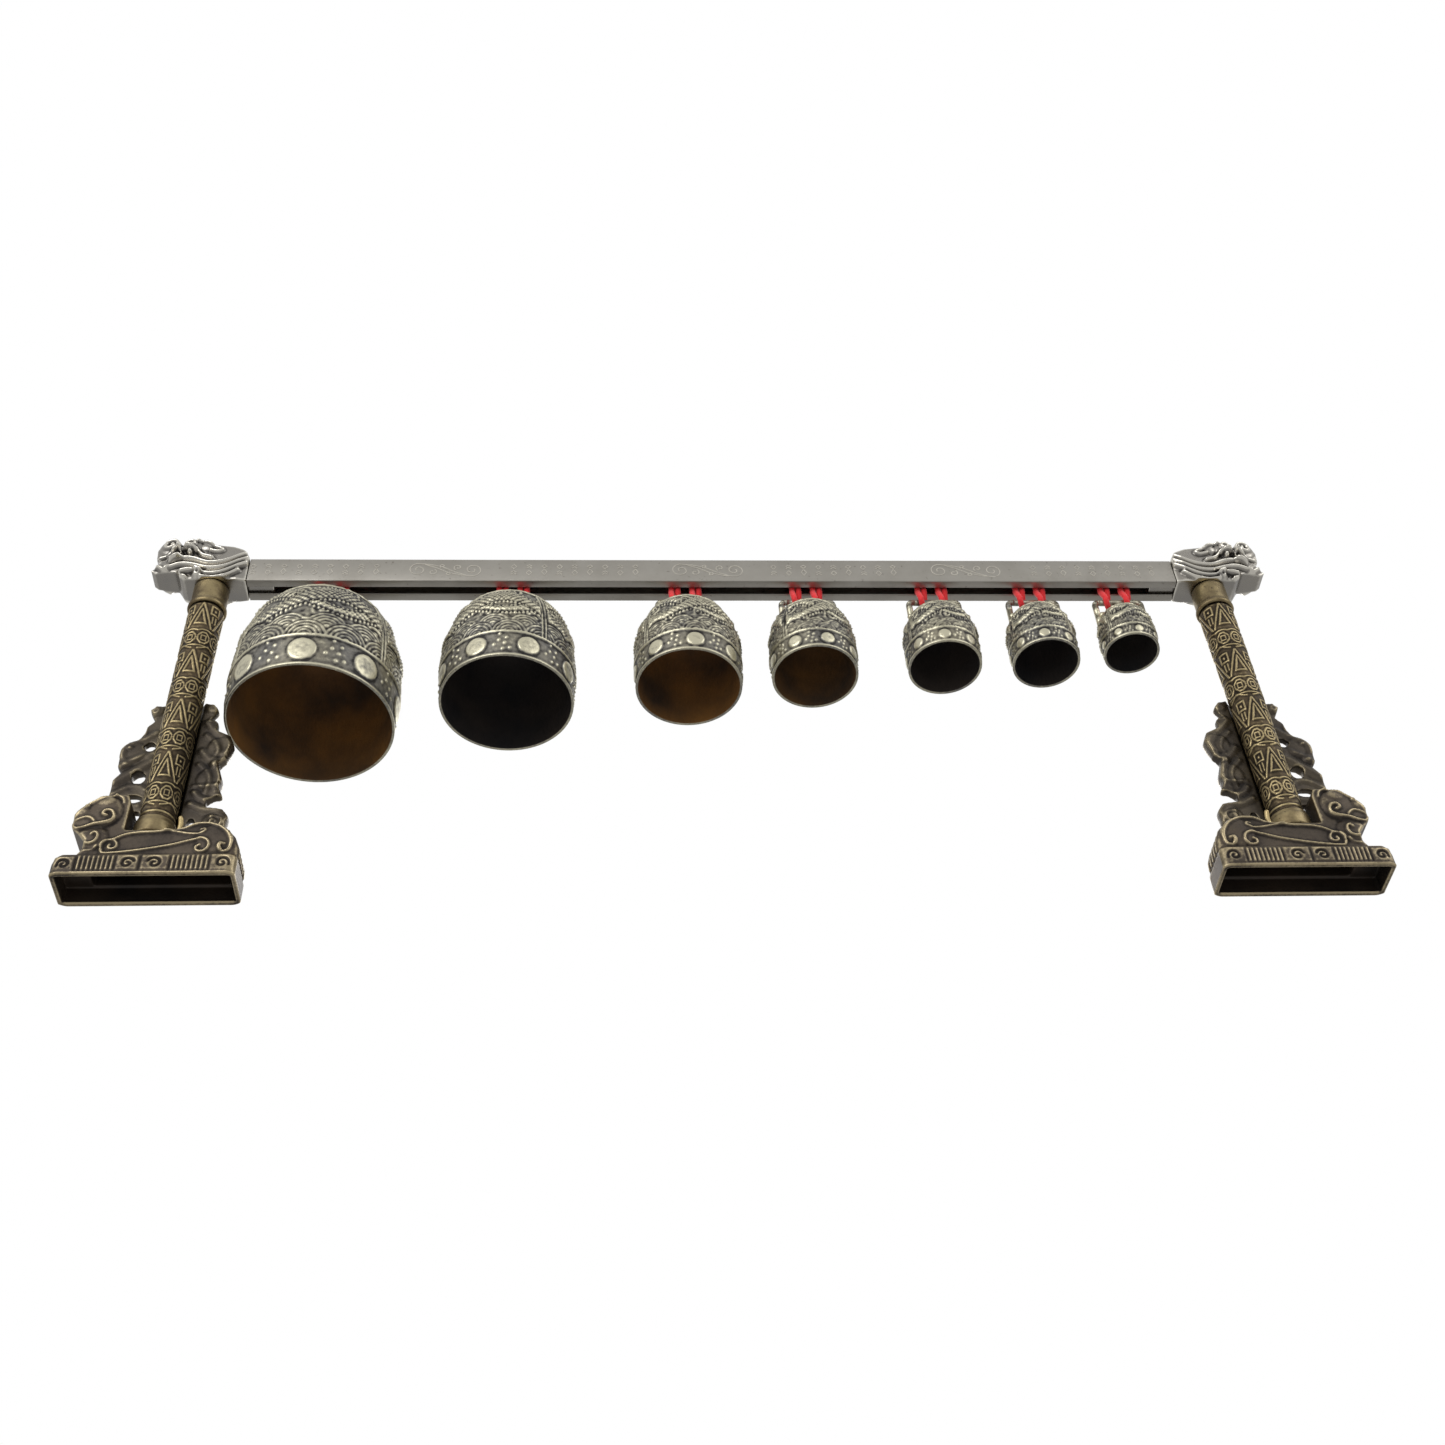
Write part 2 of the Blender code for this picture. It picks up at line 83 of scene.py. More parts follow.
class Wire:
    # one socket of a material; a sum on it adds Math nodes
    def __init__(self, tree, socket=None):
        self.tree = tree
        self.socket = socket

    def node(self, kind, settings=None, values=None, output=0):
        made = self.tree.nodes.new("ShaderNode" + kind)
        for key, value in (settings or {}).items():
            if key == "stops":
                setStops(made.color_ramp, value)
            else:
                setattr(made, key, value)
        for key, value in (values or {}).items():
            if isinstance(value, Wire):
                self.tree.links.new(value.socket, made.inputs[key])
            else:
                made.inputs[key].default_value = value
        return Wire(self.tree, made.outputs[output])

    def maths(self, operation, first, second):
        return self.node("Math", {"operation": operation}, {0: first, 1: second})

    def __add__(self, other):
        return self.maths("ADD", self, other)

    def __sub__(self, other):
        return self.maths("SUBTRACT", self, other)

    def __rsub__(self, other):
        return self.maths("SUBTRACT", other, self)

    def __mul__(self, other):
        return self.maths("MULTIPLY", self, other)

    __radd__ = __add__
    __rmul__ = __mul__

    def between(self, low, high):
        # 0 below low, 1 above high
        return self.node("MapRange", {"clamp": True}, {0: self, 1: low, 2: high})

    def noise(self, scale, detail, **more):
        # this wire gives the place
        return self.node("TexNoise", None, {"Vector": self, "Scale": scale, "Detail": detail, **more})

    def bump(self, strength, distance):
        # this wire gives the height
        return self.node("Bump", None, {"Strength": strength, "Distance": distance, "Height": self})

    def mix(self, first, second):
        # this wire blends from the first colour to the second
        return self.node("Mix", {"data_type": "RGBA"}, {0: self, 6: first, 7: second}, output=2)


def setStops(ramp, stops):
    while len(ramp.elements) < len(stops):
        ramp.elements.new(0.5)
    for element, (position, colour) in zip(ramp.elements, stops):
        element.position = position
        element.color = colour


def colour(red, green, blue):
    return (red, green, blue, 1.0)


stageLook = {"halfSize": 5.0, "below": 0.0003, "floorColour": (0.80, 0.80, 0.79),
             "skyBelow": 0.50, "skyAbove": 0.70, "key": 4.4, "fill": 1.6, "back": 2.0}


def makeStage():
    bm = bmesh.new()
    bmesh.ops.create_grid(bm, x_segments=1, y_segments=1, size=stageLook["halfSize"])
    bmesh.ops.translate(bm, verts=bm.verts, vec=(0, 0, -stageLook["below"]))
    mesh = bpy.data.meshes.new("floor")
    bm.to_mesh(mesh)
    bm.free()
    floor = addObject("floor", mesh)
    material = bpy.data.materials.new("paleFloor")
    material.use_nodes = True
    tree = material.node_tree
    tree.nodes.clear()
    wire = Wire(tree)
    paper = wire.node("BsdfDiffuse", None, {0: colour(*stageLook["floorColour"])})
    clear = wire.node("BsdfTransparent")
    under = wire.node("NewGeometry", output="Backfacing")
    # the set can be looked at from below, so the floor shows from above only
    shown = wire.node("MixShader", None, {0: under, 1: paper, 2: clear})
    out = tree.nodes.new("ShaderNodeOutputMaterial")
    tree.links.new(shown.socket, out.inputs["Surface"])
    mesh.materials.append(material)
    floor.visible_diffuse = False
    floor.visible_glossy = False


def softLight(name, place, target, size, power):
    data = bpy.data.lights.new(name, "AREA")
    data.shape = "RECTANGLE"
    data.size, data.size_y = size
    data.energy = power
    light = addObject(name, data)
    light.location = place
    light.rotation_euler = (Vector(place) - Vector(target)).to_track_quat("Z", "Y").to_euler()


def lightScene():
    world = bpy.data.worlds.new("studio")
    bpy.context.scene.world = world
    world.use_nodes = True
    tree = world.node_tree
    wire = Wire(tree)
    seen = wire.node("LightPath", output="Is Camera Ray")
    aim = wire.node("TexCoord", output="Generated")
    up = wire.node("SeparateXYZ", None, {0: aim}, output="Z").between(-0.5, 0.6)
    sky = up * (stageLook["skyAbove"] - stageLook["skyBelow"]) + stageLook["skyBelow"]
    tree.links.new((seen * (1 - sky) + sky).socket, tree.nodes["Background"].inputs["Strength"])
    tree.nodes["Background"].inputs["Color"].default_value = colour(1, 1, 1)
    target = (0, 0, 0.09)
    softLight("keyLight", (-0.60, -0.90, 0.35), target, (0.8, 0.7), stageLook["key"])
    softLight("fillLight", (0.8, -0.6, 0.60), target, (0.6, 0.6), stageLook["fill"])
    softLight("backLight", (0.1, 0.8, 0.6), target, (0.8, 0.3), stageLook["back"])
    bpy.context.scene.view_settings.view_transform = "Standard"


placeCamera()
makeStage()
lightScene()
print("camera, floor and lights are set")


# Finishes

finishes = {}


def newMaterial(name):
    # returns the place on the piece as a wire, and the shader
    material = bpy.data.materials.new(name)
    material.use_nodes = True
    finishes[name] = material
    place = Wire(material.node_tree).node("TexCoord", output="Object")
    return place, material.node_tree.nodes["Principled BSDF"]


def feed(shader, **sockets):
    # fills the shader's sockets, with a link or a plain value
    for key, value in sockets.items():
        socket = shader.inputs[key.replace("_", " ")]
        if isinstance(value, Wire):
            value.tree.links.new(value.socket, socket)
        else:
            socket.default_value = value


def castFinish(name, look):
    # old cast metal: dark in the hollows, rubbed bright on what stands proud
    place, shader = newMaterial(name)
    cloud = place.noise(look["cloud"], 4.0)
    grain = place.noise(look["grain"], 6.0, Roughness=0.65)
    wear = place.node("Attribute", {"attribute_name": "wear"}, output="Fac")
    height = wear + (grain - 0.5) * look["ragged"] + (cloud - 0.5) * 0.35
    rubbed = height.between(*look["rubbedFrom"])
    clear = height.between(*look["openFrom"])
    tone = cloud.between(0.35, 0.68).mix(colour(*look["field"]), colour(*look["fieldWarm"]))
    ground = clear.mix(colour(*look["hollow"]), tone)
    surface = rubbed.mix(ground, colour(*look["bright"]))
    feed(shader, Base_Color=surface, Metallic=look["metallic"],
         Roughness=look["roughness"] - rubbed * 0.18 + grain * 0.16,
         Normal=grain.bump(look["bump"], 0.00012))


def smoothFinish(name, look):
    # filed and polished metal with fine scratches and a clouded film
    place, shader = newMaterial(name)
    drawn = place.node("Mapping", None, {"Vector": place, "Scale": look["drawn"]})
    scratch = drawn.noise(look["scratch"], 5.0)
    film = place.noise(look["cloud"], 5.0, Roughness=0.6).between(0.38, 0.66)
    spots = place.noise(look["speck"], 3.0).between(0.66, 0.74)
    metal = film.mix(colour(*look["main"]), colour(*look["clouded"]))
    feed(shader, Base_Color=spots.mix(metal, colour(*look["spot"])), Metallic=look["metallic"],
         Roughness=film * 0.12 + scratch * 0.14 + look["roughness"],
         Normal=scratch.bump(look["bump"], 0.00005))


def hollowFinish(name, look):
    # the unpolished inside of a casting: sooty, with a warm stain
    place, shader = newMaterial(name)
    stain = place.noise(look["cloud"], 4.0).between(0.36, 0.66)
    grain = place.noise(1400.0, 5.0)
    feed(shader, Base_Color=stain.mix(colour(*look["dark"]), colour(*look["stain"])), Metallic=0.35,
         Roughness=grain * 0.2 + 0.40, Normal=grain.bump(0.5, 0.00012))


looks = {
    "bellSilver": (castFinish, {
        "hollow": (0.036, 0.034, 0.032), "field": (0.200, 0.193, 0.178), "fieldWarm": (0.285, 0.260, 0.195),
        "bright": (0.66, 0.62, 0.46), "cloud": 60.0, "grain": 900.0, "ragged": 0.50, "bump": 0.35,
        "openFrom": (0.24, 0.52), "rubbedFrom": (0.55, 0.82), "roughness": 0.42, "metallic": 0.85}),
    "bellInsideAmber": (hollowFinish, {
        "dark": (0.085, 0.060, 0.042), "stain": (0.36, 0.175, 0.050), "cloud": 40.0}),
    "bellInsideBlack": (hollowFinish, {
        "dark": (0.030, 0.029, 0.031), "stain": (0.065, 0.052, 0.044), "cloud": 50.0}),
    "baseInside": (hollowFinish, {
        "dark": (0.020, 0.016, 0.013), "stain": (0.050, 0.034, 0.022), "cloud": 70.0}),
    "columnBrass": (castFinish, {
        "hollow": (0.024, 0.018, 0.012), "field": (0.070, 0.052, 0.031), "fieldWarm": (0.125, 0.090, 0.050),
        "bright": (0.42, 0.335, 0.175), "cloud": 90.0, "grain": 1100.0, "ragged": 0.45, "bump": 0.35,
        "openFrom": (0.22, 0.50), "rubbedFrom": (0.56, 0.86), "roughness": 0.44, "metallic": 0.85}),
    "collarBrass": (smoothFinish, {
        "main": (0.36, 0.285, 0.150), "clouded": (0.135, 0.100, 0.055), "spot": (0.07, 0.052, 0.036),
        "drawn": (1, 1, 8), "scratch": 300.0, "cloud": 170.0, "speck": 800.0, "bump": 0.3,
        "roughness": 0.28, "metallic": 0.9}),
    "lugBrass": (smoothFinish, {
        "main": (0.78, 0.62, 0.32), "clouded": (0.62, 0.47, 0.23), "spot": (0.30, 0.22, 0.11),
        "drawn": (1, 1, 1), "scratch": 900.0, "cloud": 400.0, "speck": 1500.0, "bump": 0.2,
        "roughness": 0.24, "metallic": 0.9}),
    "agedBronze": (castFinish, {
        "hollow": (0.020, 0.016, 0.013), "field": (0.066, 0.053, 0.042), "fieldWarm": (0.105, 0.083, 0.060),
        "bright": (0.47, 0.385, 0.235), "cloud": 80.0, "grain": 950.0, "ragged": 0.50, "bump": 0.45,
        "openFrom": (0.20, 0.50), "rubbedFrom": (0.60, 0.92), "roughness": 0.42, "metallic": 0.8}),
    "bracketBronze": (castFinish, {
        "hollow": (0.018, 0.015, 0.013), "field": (0.058, 0.048, 0.039), "fieldWarm": (0.098, 0.080, 0.056),
        "bright": (0.31, 0.255, 0.160), "cloud": 80.0, "grain": 800.0, "ragged": 0.45, "bump": 0.45,
        "openFrom": (0.18, 0.48), "rubbedFrom": (0.66, 0.98), "roughness": 0.36, "metallic": 0.85}),
    "beamNickel": (smoothFinish, {
        "main": (0.405, 0.385, 0.345), "clouded": (0.350, 0.331, 0.294), "spot": (0.26, 0.24, 0.21),
        "drawn": (0.06, 1, 1), "scratch": 900.0, "cloud": 70.0, "speck": 700.0, "bump": 0.2,
        "roughness": 0.32, "metallic": 0.92}),
    "beamMarks": (smoothFinish, {
        "main": (0.56, 0.53, 0.46), "clouded": (0.45, 0.425, 0.37), "spot": (0.34, 0.32, 0.27),
        "drawn": (1, 1, 1), "scratch": 900.0, "cloud": 300.0, "speck": 900.0, "bump": 0.2,
        "roughness": 0.40, "metallic": 0.25}),
    "capPewter": (castFinish, {
        "hollow": (0.036, 0.033, 0.030), "field": (0.31, 0.295, 0.272), "fieldWarm": (0.36, 0.338, 0.300),
        "bright": (0.78, 0.745, 0.66), "cloud": 90.0, "grain": 900.0, "ragged": 0.14, "bump": 0.06,
        "openFrom": (0.12, 0.42), "rubbedFrom": (0.56, 0.80), "roughness": 0.20, "metallic": 0.97}),
    "plainSteel": (smoothFinish, {
        "main": (0.42, 0.41, 0.39), "clouded": (0.30, 0.29, 0.27), "spot": (0.16, 0.12, 0.09),
        "drawn": (0.05, 1, 1), "scratch": 1200.0, "cloud": 200.0, "speck": 1000.0, "bump": 0.2,
        "roughness": 0.26, "metallic": 1.0}),
}


def cordFinish(name):
    place, shader = newMaterial(name)
    fibre = place.noise(2600.0, 4.0)
    fade = place.noise(240.0, 2.0)
    # painted shade: where the braid sinks into its grooves the red is mixed towards a deep red, standing in
    # for the shade in the creases between the plaits
    grooveShade = place.node("Attribute", {"attribute_name": "wear"}, output="Fac")
    thread = fade.mix(colour(0.95, 0.032, 0.036), colour(0.84, 0.014, 0.022))
    surface = grooveShade.between(0.2, 0.6).mix(colour(0.42, 0.004, 0.008), thread)
    feed(shader, Base_Color=surface, Metallic=0.0, Roughness=fibre * 0.2 + 0.6,
         Normal=fibre.bump(0.4, 0.0001), Sheen_Weight=0.25)


for name, (maker, look) in looks.items():
    maker(name, look)
cordFinish("redCord")
print("finishes are ready")


# Shared mesh work

def smoothPath(points, steps=6, closed=False):
    # more points on a smooth line through the given ones
    points = [Vector(p) for p in points]
    count = len(points)
    if not closed and count < 3:
        return points
    path = []
    for k in range(count if closed else count - 1):
        if closed:
            a, b, c, d = (points[(k + j) % count] for j in (-1, 0, 1, 2))
        else:
            a, b, c, d = (points[min(max(k + j, 0), count - 1)] for j in (-1, 0, 1, 2))
        for step in range(steps):
            t = step / steps
            path.append(0.5 * ((2 * b) + (c - a) * t + (2 * a - 5 * b + 4 * c - d) * t * t
                               + (3 * b - a - 3 * c + d) * t ** 3))
    if not closed:
        path.append(points[-1])
    return path


def curl(centre, radius, start, turns, steps=14):
    # a spiral from its outer end inwards; turns below 0 go clockwise
    path = []
    count = max(6, int(abs(turns) * steps))
    for k in range(count + 1):
        share = k / count
        angle = math.radians(start) + 2 * math.pi * turns * share
        reach = radius * (1 - 0.82 * share)
        path.append((centre[0] + reach * math.cos(angle), centre[1] + reach * math.sin(angle)))
    return path


def sweep(bm, path, radius, sides=8, closed=False, braid=0.0, plaits=0):
    # a round strand along a path, by extruding one ring; the braid gives it plaited grooves
    path = [Vector(p) for p in path]
    last = len(path) - 1
    ring = bmesh.ops.create_circle(bm, cap_ends=not closed, radius=radius, segments=sides)["verts"]
    edges = list({edge for vert in ring for edge in vert.link_edges})
    face = None if closed else ring[0].link_faces[0]
    first, rings = edges, []
    turn, heading, before = None, None, Matrix.Identity(4)
    for k, point in enumerate(path):
        if closed:
            ahead = path[(k + 1) % len(path)] - path[k - 1]
        else:
            ahead = path[min(k + 1, last)] - path[max(k - 1, 0)]
        turn = heading.rotation_difference(ahead) @ turn if turn else ahead.to_track_quat("Z", "Y")
        heading = ahead
        after = Matrix.Translation(point) @ turn.to_matrix().to_4x4()
        if k:
            if closed:
                grown = bmesh.ops.extrude_edge_only(bm, edges=edges)["geom"]
            else:
                grown = bmesh.ops.extrude_face_region(bm, geom=[face])["geom"]
                face = [g for g in grown if isinstance(g, bmesh.types.BMFace)][0]
            ring = [g for g in grown if isinstance(g, bmesh.types.BMVert)]
            edges = [g for g in grown if isinstance(g, bmesh.types.BMEdge)]
        bmesh.ops.transform(bm, matrix=after @ before.inverted(), verts=ring)
        before = after
        rings.append((ring, after))
    if closed:
        bmesh.ops.bridge_loops(bm, edges=edges + first)
    if braid:
        for k, (ring, after) in enumerate(rings):
            undo = after.inverted()
            for vert in ring:
                local = undo @ vert.co
                angle = plaits * math.atan2(local.y, local.x)
                lean = 2 * math.pi * k / 5
                wave = abs(math.sin(0.5 * (angle + lean)) * math.sin(0.5 * (angle - lean)))
                vert.co = after @ (local * (1 - braid + 1.4 * braid * wave))
    return [vert for ring, _ in rings for vert in ring]


def addPiece(bm, name, materials, body, replaced=(), slot=None, facing=True):
    if facing:
        bmesh.ops.recalc_face_normals(bm, faces=bm.faces)
    mesh = bpy.data.meshes.new(name)
    for face in bm.faces:
        face.smooth = True
    bm.to_mesh(mesh)
    bm.free()
    piece = addObject(name, mesh)
    for material in materials:
        mesh.materials.append(finishes[material])
    if body:
        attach(piece, body)
    if replaced:
        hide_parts(*replaced)
    return piece


def nodeMesh(node):
    # a merged copy of a node's mesh
    bm = bmesh.new()
    bm.from_mesh(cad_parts[node].data)
    bmesh.ops.remove_doubles(bm, verts=bm.verts, dist=0.000005)
    return bm


def recast(bm, grid, rounds):
    # one even skin over the joined solids, with its hard edges eased
    mesh = bpy.data.meshes.new("core")
    bm.to_mesh(mesh)
    bm.free()
    core = addObject("core", mesh)
    remesh = core.modifiers.new("remesh", "REMESH")
    remesh.mode = "VOXEL"
    remesh.voxel_size = grid
    shown = core.evaluated_get(bpy.context.evaluated_depsgraph_get())
    skin = bmesh.new()
    skin.from_mesh(shown.to_mesh())
    shown.to_mesh_clear()
    bpy.data.objects.remove(core)
    for _ in range(rounds):
        bmesh.ops.smooth_vert(skin, verts=skin.verts, factor=0.5, use_axis_x=True, use_axis_y=True,
                              use_axis_z=True)
    return skin


def readAll(items, key, width, kind=np.float64):
    values = np.zeros(len(items) * width, kind)
    items.foreach_get(key, values)
    return values.reshape(-1, width)


def setPoints(mesh, points):
    mesh.vertices.foreach_set("co", points.ravel())
    mesh.update()


def latheTurned(profile, steps, closed=False):
    # a round body about Z from pairs of radius and height
    bm = bmesh.new()
    line = [bm.verts.new((r, 0, z)) for r, z in profile]
    ahead = line[1:] + line[:1] if closed else line[1:]
    edges = [bm.edges.new(pair) for pair in zip(line, ahead)]
    bmesh.ops.spin(bm, geom=line + edges, cent=(0, 0, 0), axis=(0, 0, 1), angle=2 * math.pi,
                   steps=steps, use_merge=True)
    bmesh.ops.remove_doubles(bm, verts=bm.verts, dist=0.000004)
    bmesh.ops.recalc_face_normals(bm, faces=bm.faces)
    return bm


def neighbours(mesh):
    # returns a function that takes each value half way to the mean of the points joined to it
    ends = readAll(mesh.edges, "vertices", 2, np.int32)
    a, b = ends[:, 0], ends[:, 1]
    count = len(mesh.vertices)
    degree = np.maximum(np.bincount(a, minlength=count) + np.bincount(b, minlength=count), 1)

    def spread(values):
        total = np.bincount(a, values[b], count) + np.bincount(b, values[a], count)
        return 0.5 * values + 0.5 * total / degree

    return spread


def ease(points, spread, rounds):
    for _ in range(rounds):
        for axis in range(3):
            points[:, axis] = spread(points[:, axis])


# how many rounds smooth the level that the wear is measured from, and the full depth of the wear; on the
# cords the same measure sets the painted shade in the braid's grooves
wearAndGrooveShadeReach = {"casting": (10, 0.00016), "bell": (11, 0.00013), "column": (9, 0.00008), "cord": (5, 0.00008)}
dullest = 0.64


def markWearAndGrooveShade(piece, rounds, depth, between=None):
    # how far each point stands above the surface around it, 0.5 where it is level; what lies outside
    # the two heights, a lip or a crown, stays duller
    mesh = piece.data
    points = readAll(mesh.vertices, "co", 3)
    normals = readAll(mesh.vertices, "normal", 3)
    spread = neighbours(mesh)
    level = points.copy()
    ease(level, spread, rounds)
    proud = ((points - level) * normals).sum(1)
    wear = np.clip(0.5 + 0.5 * spread(spread(proud)) / depth, 0, 1)
    if "polish" in mesh.attributes:
        wear += readAll(mesh.attributes["polish"].data, "value", 1, np.float32)[:, 0]
    if between:
        duller = (points[:, 2] < between[0]) | (points[:, 2] > between[1])
        wear = np.where(duller, np.minimum(wear, dullest), wear)
    mark = mesh.attributes.new("wear", "FLOAT", "POINT")
    mark.data.foreach_set("value", wear.astype(np.float32))


def ridge(distance, width):
    # a rounded line, 1 in its middle and 0 beyond its width
    return np.clip(1 - (distance / width) ** 2, 0, None) ** 2


def plateau(distance, radius, edge):
    return np.clip((radius - distance) / edge, 0, 1)


def uneven(u, v, size):
    # a cast ground that is never quite level, about -1 to 1
    total = np.zeros(len(u))
    for k in range(8):
        turn = 2.4 * k
        along = (u * math.cos(turn) + v * math.sin(turn)) * 2 * math.pi / size * (0.7 + 0.11 * k)
        total += np.cos(along + 1.7 * k + 1.3 * np.sin(0.37 * along + k))
    return total / 4


def wrapped(value):
    # the distance to the nearest whole number
    return (value + 0.5) % 1.0 - 0.5


def fromLine(u, z, path):
    # distance of each point from a path in the same plane
    nearest = np.full(len(u), 1e9)
    for (u0, z0), (u1, z1) in zip(path[:-1], path[1:]):
        du, dz = u1 - u0, z1 - z0
        share = np.clip(((u - u0) * du + (z - z0) * dz) / max(du * du + dz * dz, 1e-12), 0, 1)
        nearest = np.minimum(nearest, np.hypot(u - u0 - share * du, z - z0 - share * dz))
    return nearest


def faceRelief(u, z, design):
    # height of the raised work on a flat face; u outwards from the post and z upwards, in mm
    height = np.zeros(len(u))
    broad = design.get("broad", 1.0)
    for (centre, radius, rise) in design.get("domes", ()):
        d = np.hypot(u - centre[0], z - centre[1]) / radius
        height = np.maximum(height, rise * np.sqrt(np.clip(1 - d * d, 0, 1)))
    for (low, high, rise) in design.get("plates", ()):
        edge = np.minimum(np.minimum(u - low[0], high[0] - u), np.minimum(z - low[1], high[1] - z))
        height = np.maximum(height, rise * np.clip(edge / 0.35 + 0.5, 0, 1))
    for (points, width, rise) in design.get("lines", ()):
        path = [(p[0], p[1]) for p in smoothPath([(u0, z0, 0) for u0, z0 in points])]
        height = np.maximum(height, 0) + rise * ridge(fromLine(u, z, path), width * broad)
    for (centre, radius, start, turns, width, rise) in design.get("curls", ()):
        path = curl(centre, radius, start, turns)
        height = height + rise * ridge(fromLine(u, z, path), width)
    for (start, end, count, low, high, width, rise) in design.get("ribs", ()):
        pitch = (end - start) / (count - 1)
        nearest = wrapped((u - start) / pitch) * pitch
        inside = (u > start - pitch / 2) & (u < end + pitch / 2) & (z > low) & (z < high)
        height = height + np.where(inside, rise * ridge(nearest, width), 0)
    return height


def emboss(piece, side, design):
    # raises the design on the front and back faces that lie further out than its depth
    mesh = piece.data
    points = readAll(mesh.vertices, "co", 3)
    normals = readAll(mesh.vertices, "normal", 3)
    outward = side * points[:, 0] / mm - post
    height = faceRelief(outward, points[:, 2] / mm, design) * mm
    facing = np.clip((np.abs(normals[:, 1]) - 0.45) / 0.3, 0, 1)
    facing *= np.abs(points[:, 1]) > design["depth"]
    points[:, 1] += np.sign(normals[:, 1]) * facing * height * design.get("rise", 1.0)
    # softens the steep sides of the raised work
    ease(points, neighbours(mesh), design["eased"])
    setPoints(mesh, points)


def makeCasting(label, side, design, shaping=None, hollow=None):
    # an even cast skin over a part, with the raised work and then its own shaping
    node = f"{label}_{design['part']}"
    bm = recast(nodeMesh(node), design["grid"], design["rounds"])
    if hollow:
        hollow(bm, side)
    piece = addPiece(bm, f"{label}_{design['name']}_cast", design["finish"], "stand", (node,),
                     design["slot"], facing=False)
    emboss(piece, side, design)
    if shaping:
        shaping(piece, side)
    markWearAndGrooveShade(piece, *wearAndGrooveShadeReach["casting"])


# Bells

bells = {"rowStep": 0.00038, "insideRows": 16, "mouthShare": 0.97, "widestAt": 0.22,
         "shoulder": 2.4, "sink": 0.00035, "twist": (0, 24, -6, -14, 6, 10, -8),
         "coins": 8, "dots": 7, "waves": 13, "curls": 9, "lip": 0.0008,
         "amber": (1, 3, 4), "crownRise": 0.0040, "barRadius": 0.0011, "centre": 0.35}


def bellShape(number):
    low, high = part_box(f"bell_{number}")
    widest = (high.x - low.x) / 2
    height = high.z - low.z - bells["crownRise"] - bells["barRadius"]
    return {"x": (low.x + high.x) / 2, "foot": low.z, "height": height, "widest": widest,
            "mouth": 2 * widest * bells["mouthShare"]}


def bellRadius(shape, share):
    if share < bells["widestAt"]:
        fall = (bells["widestAt"] - share) / bells["widestAt"]
        return shape["widest"] * (1 - (1 - bells["mouthShare"]) * fall ** 2)
    rise = (share - bells["widestAt"]) / (1 - bells["widestAt"])
    power = bells["shoulder"]
    return shape["widest"] * max(0.0, 1 - rise ** power) ** (1 / power)


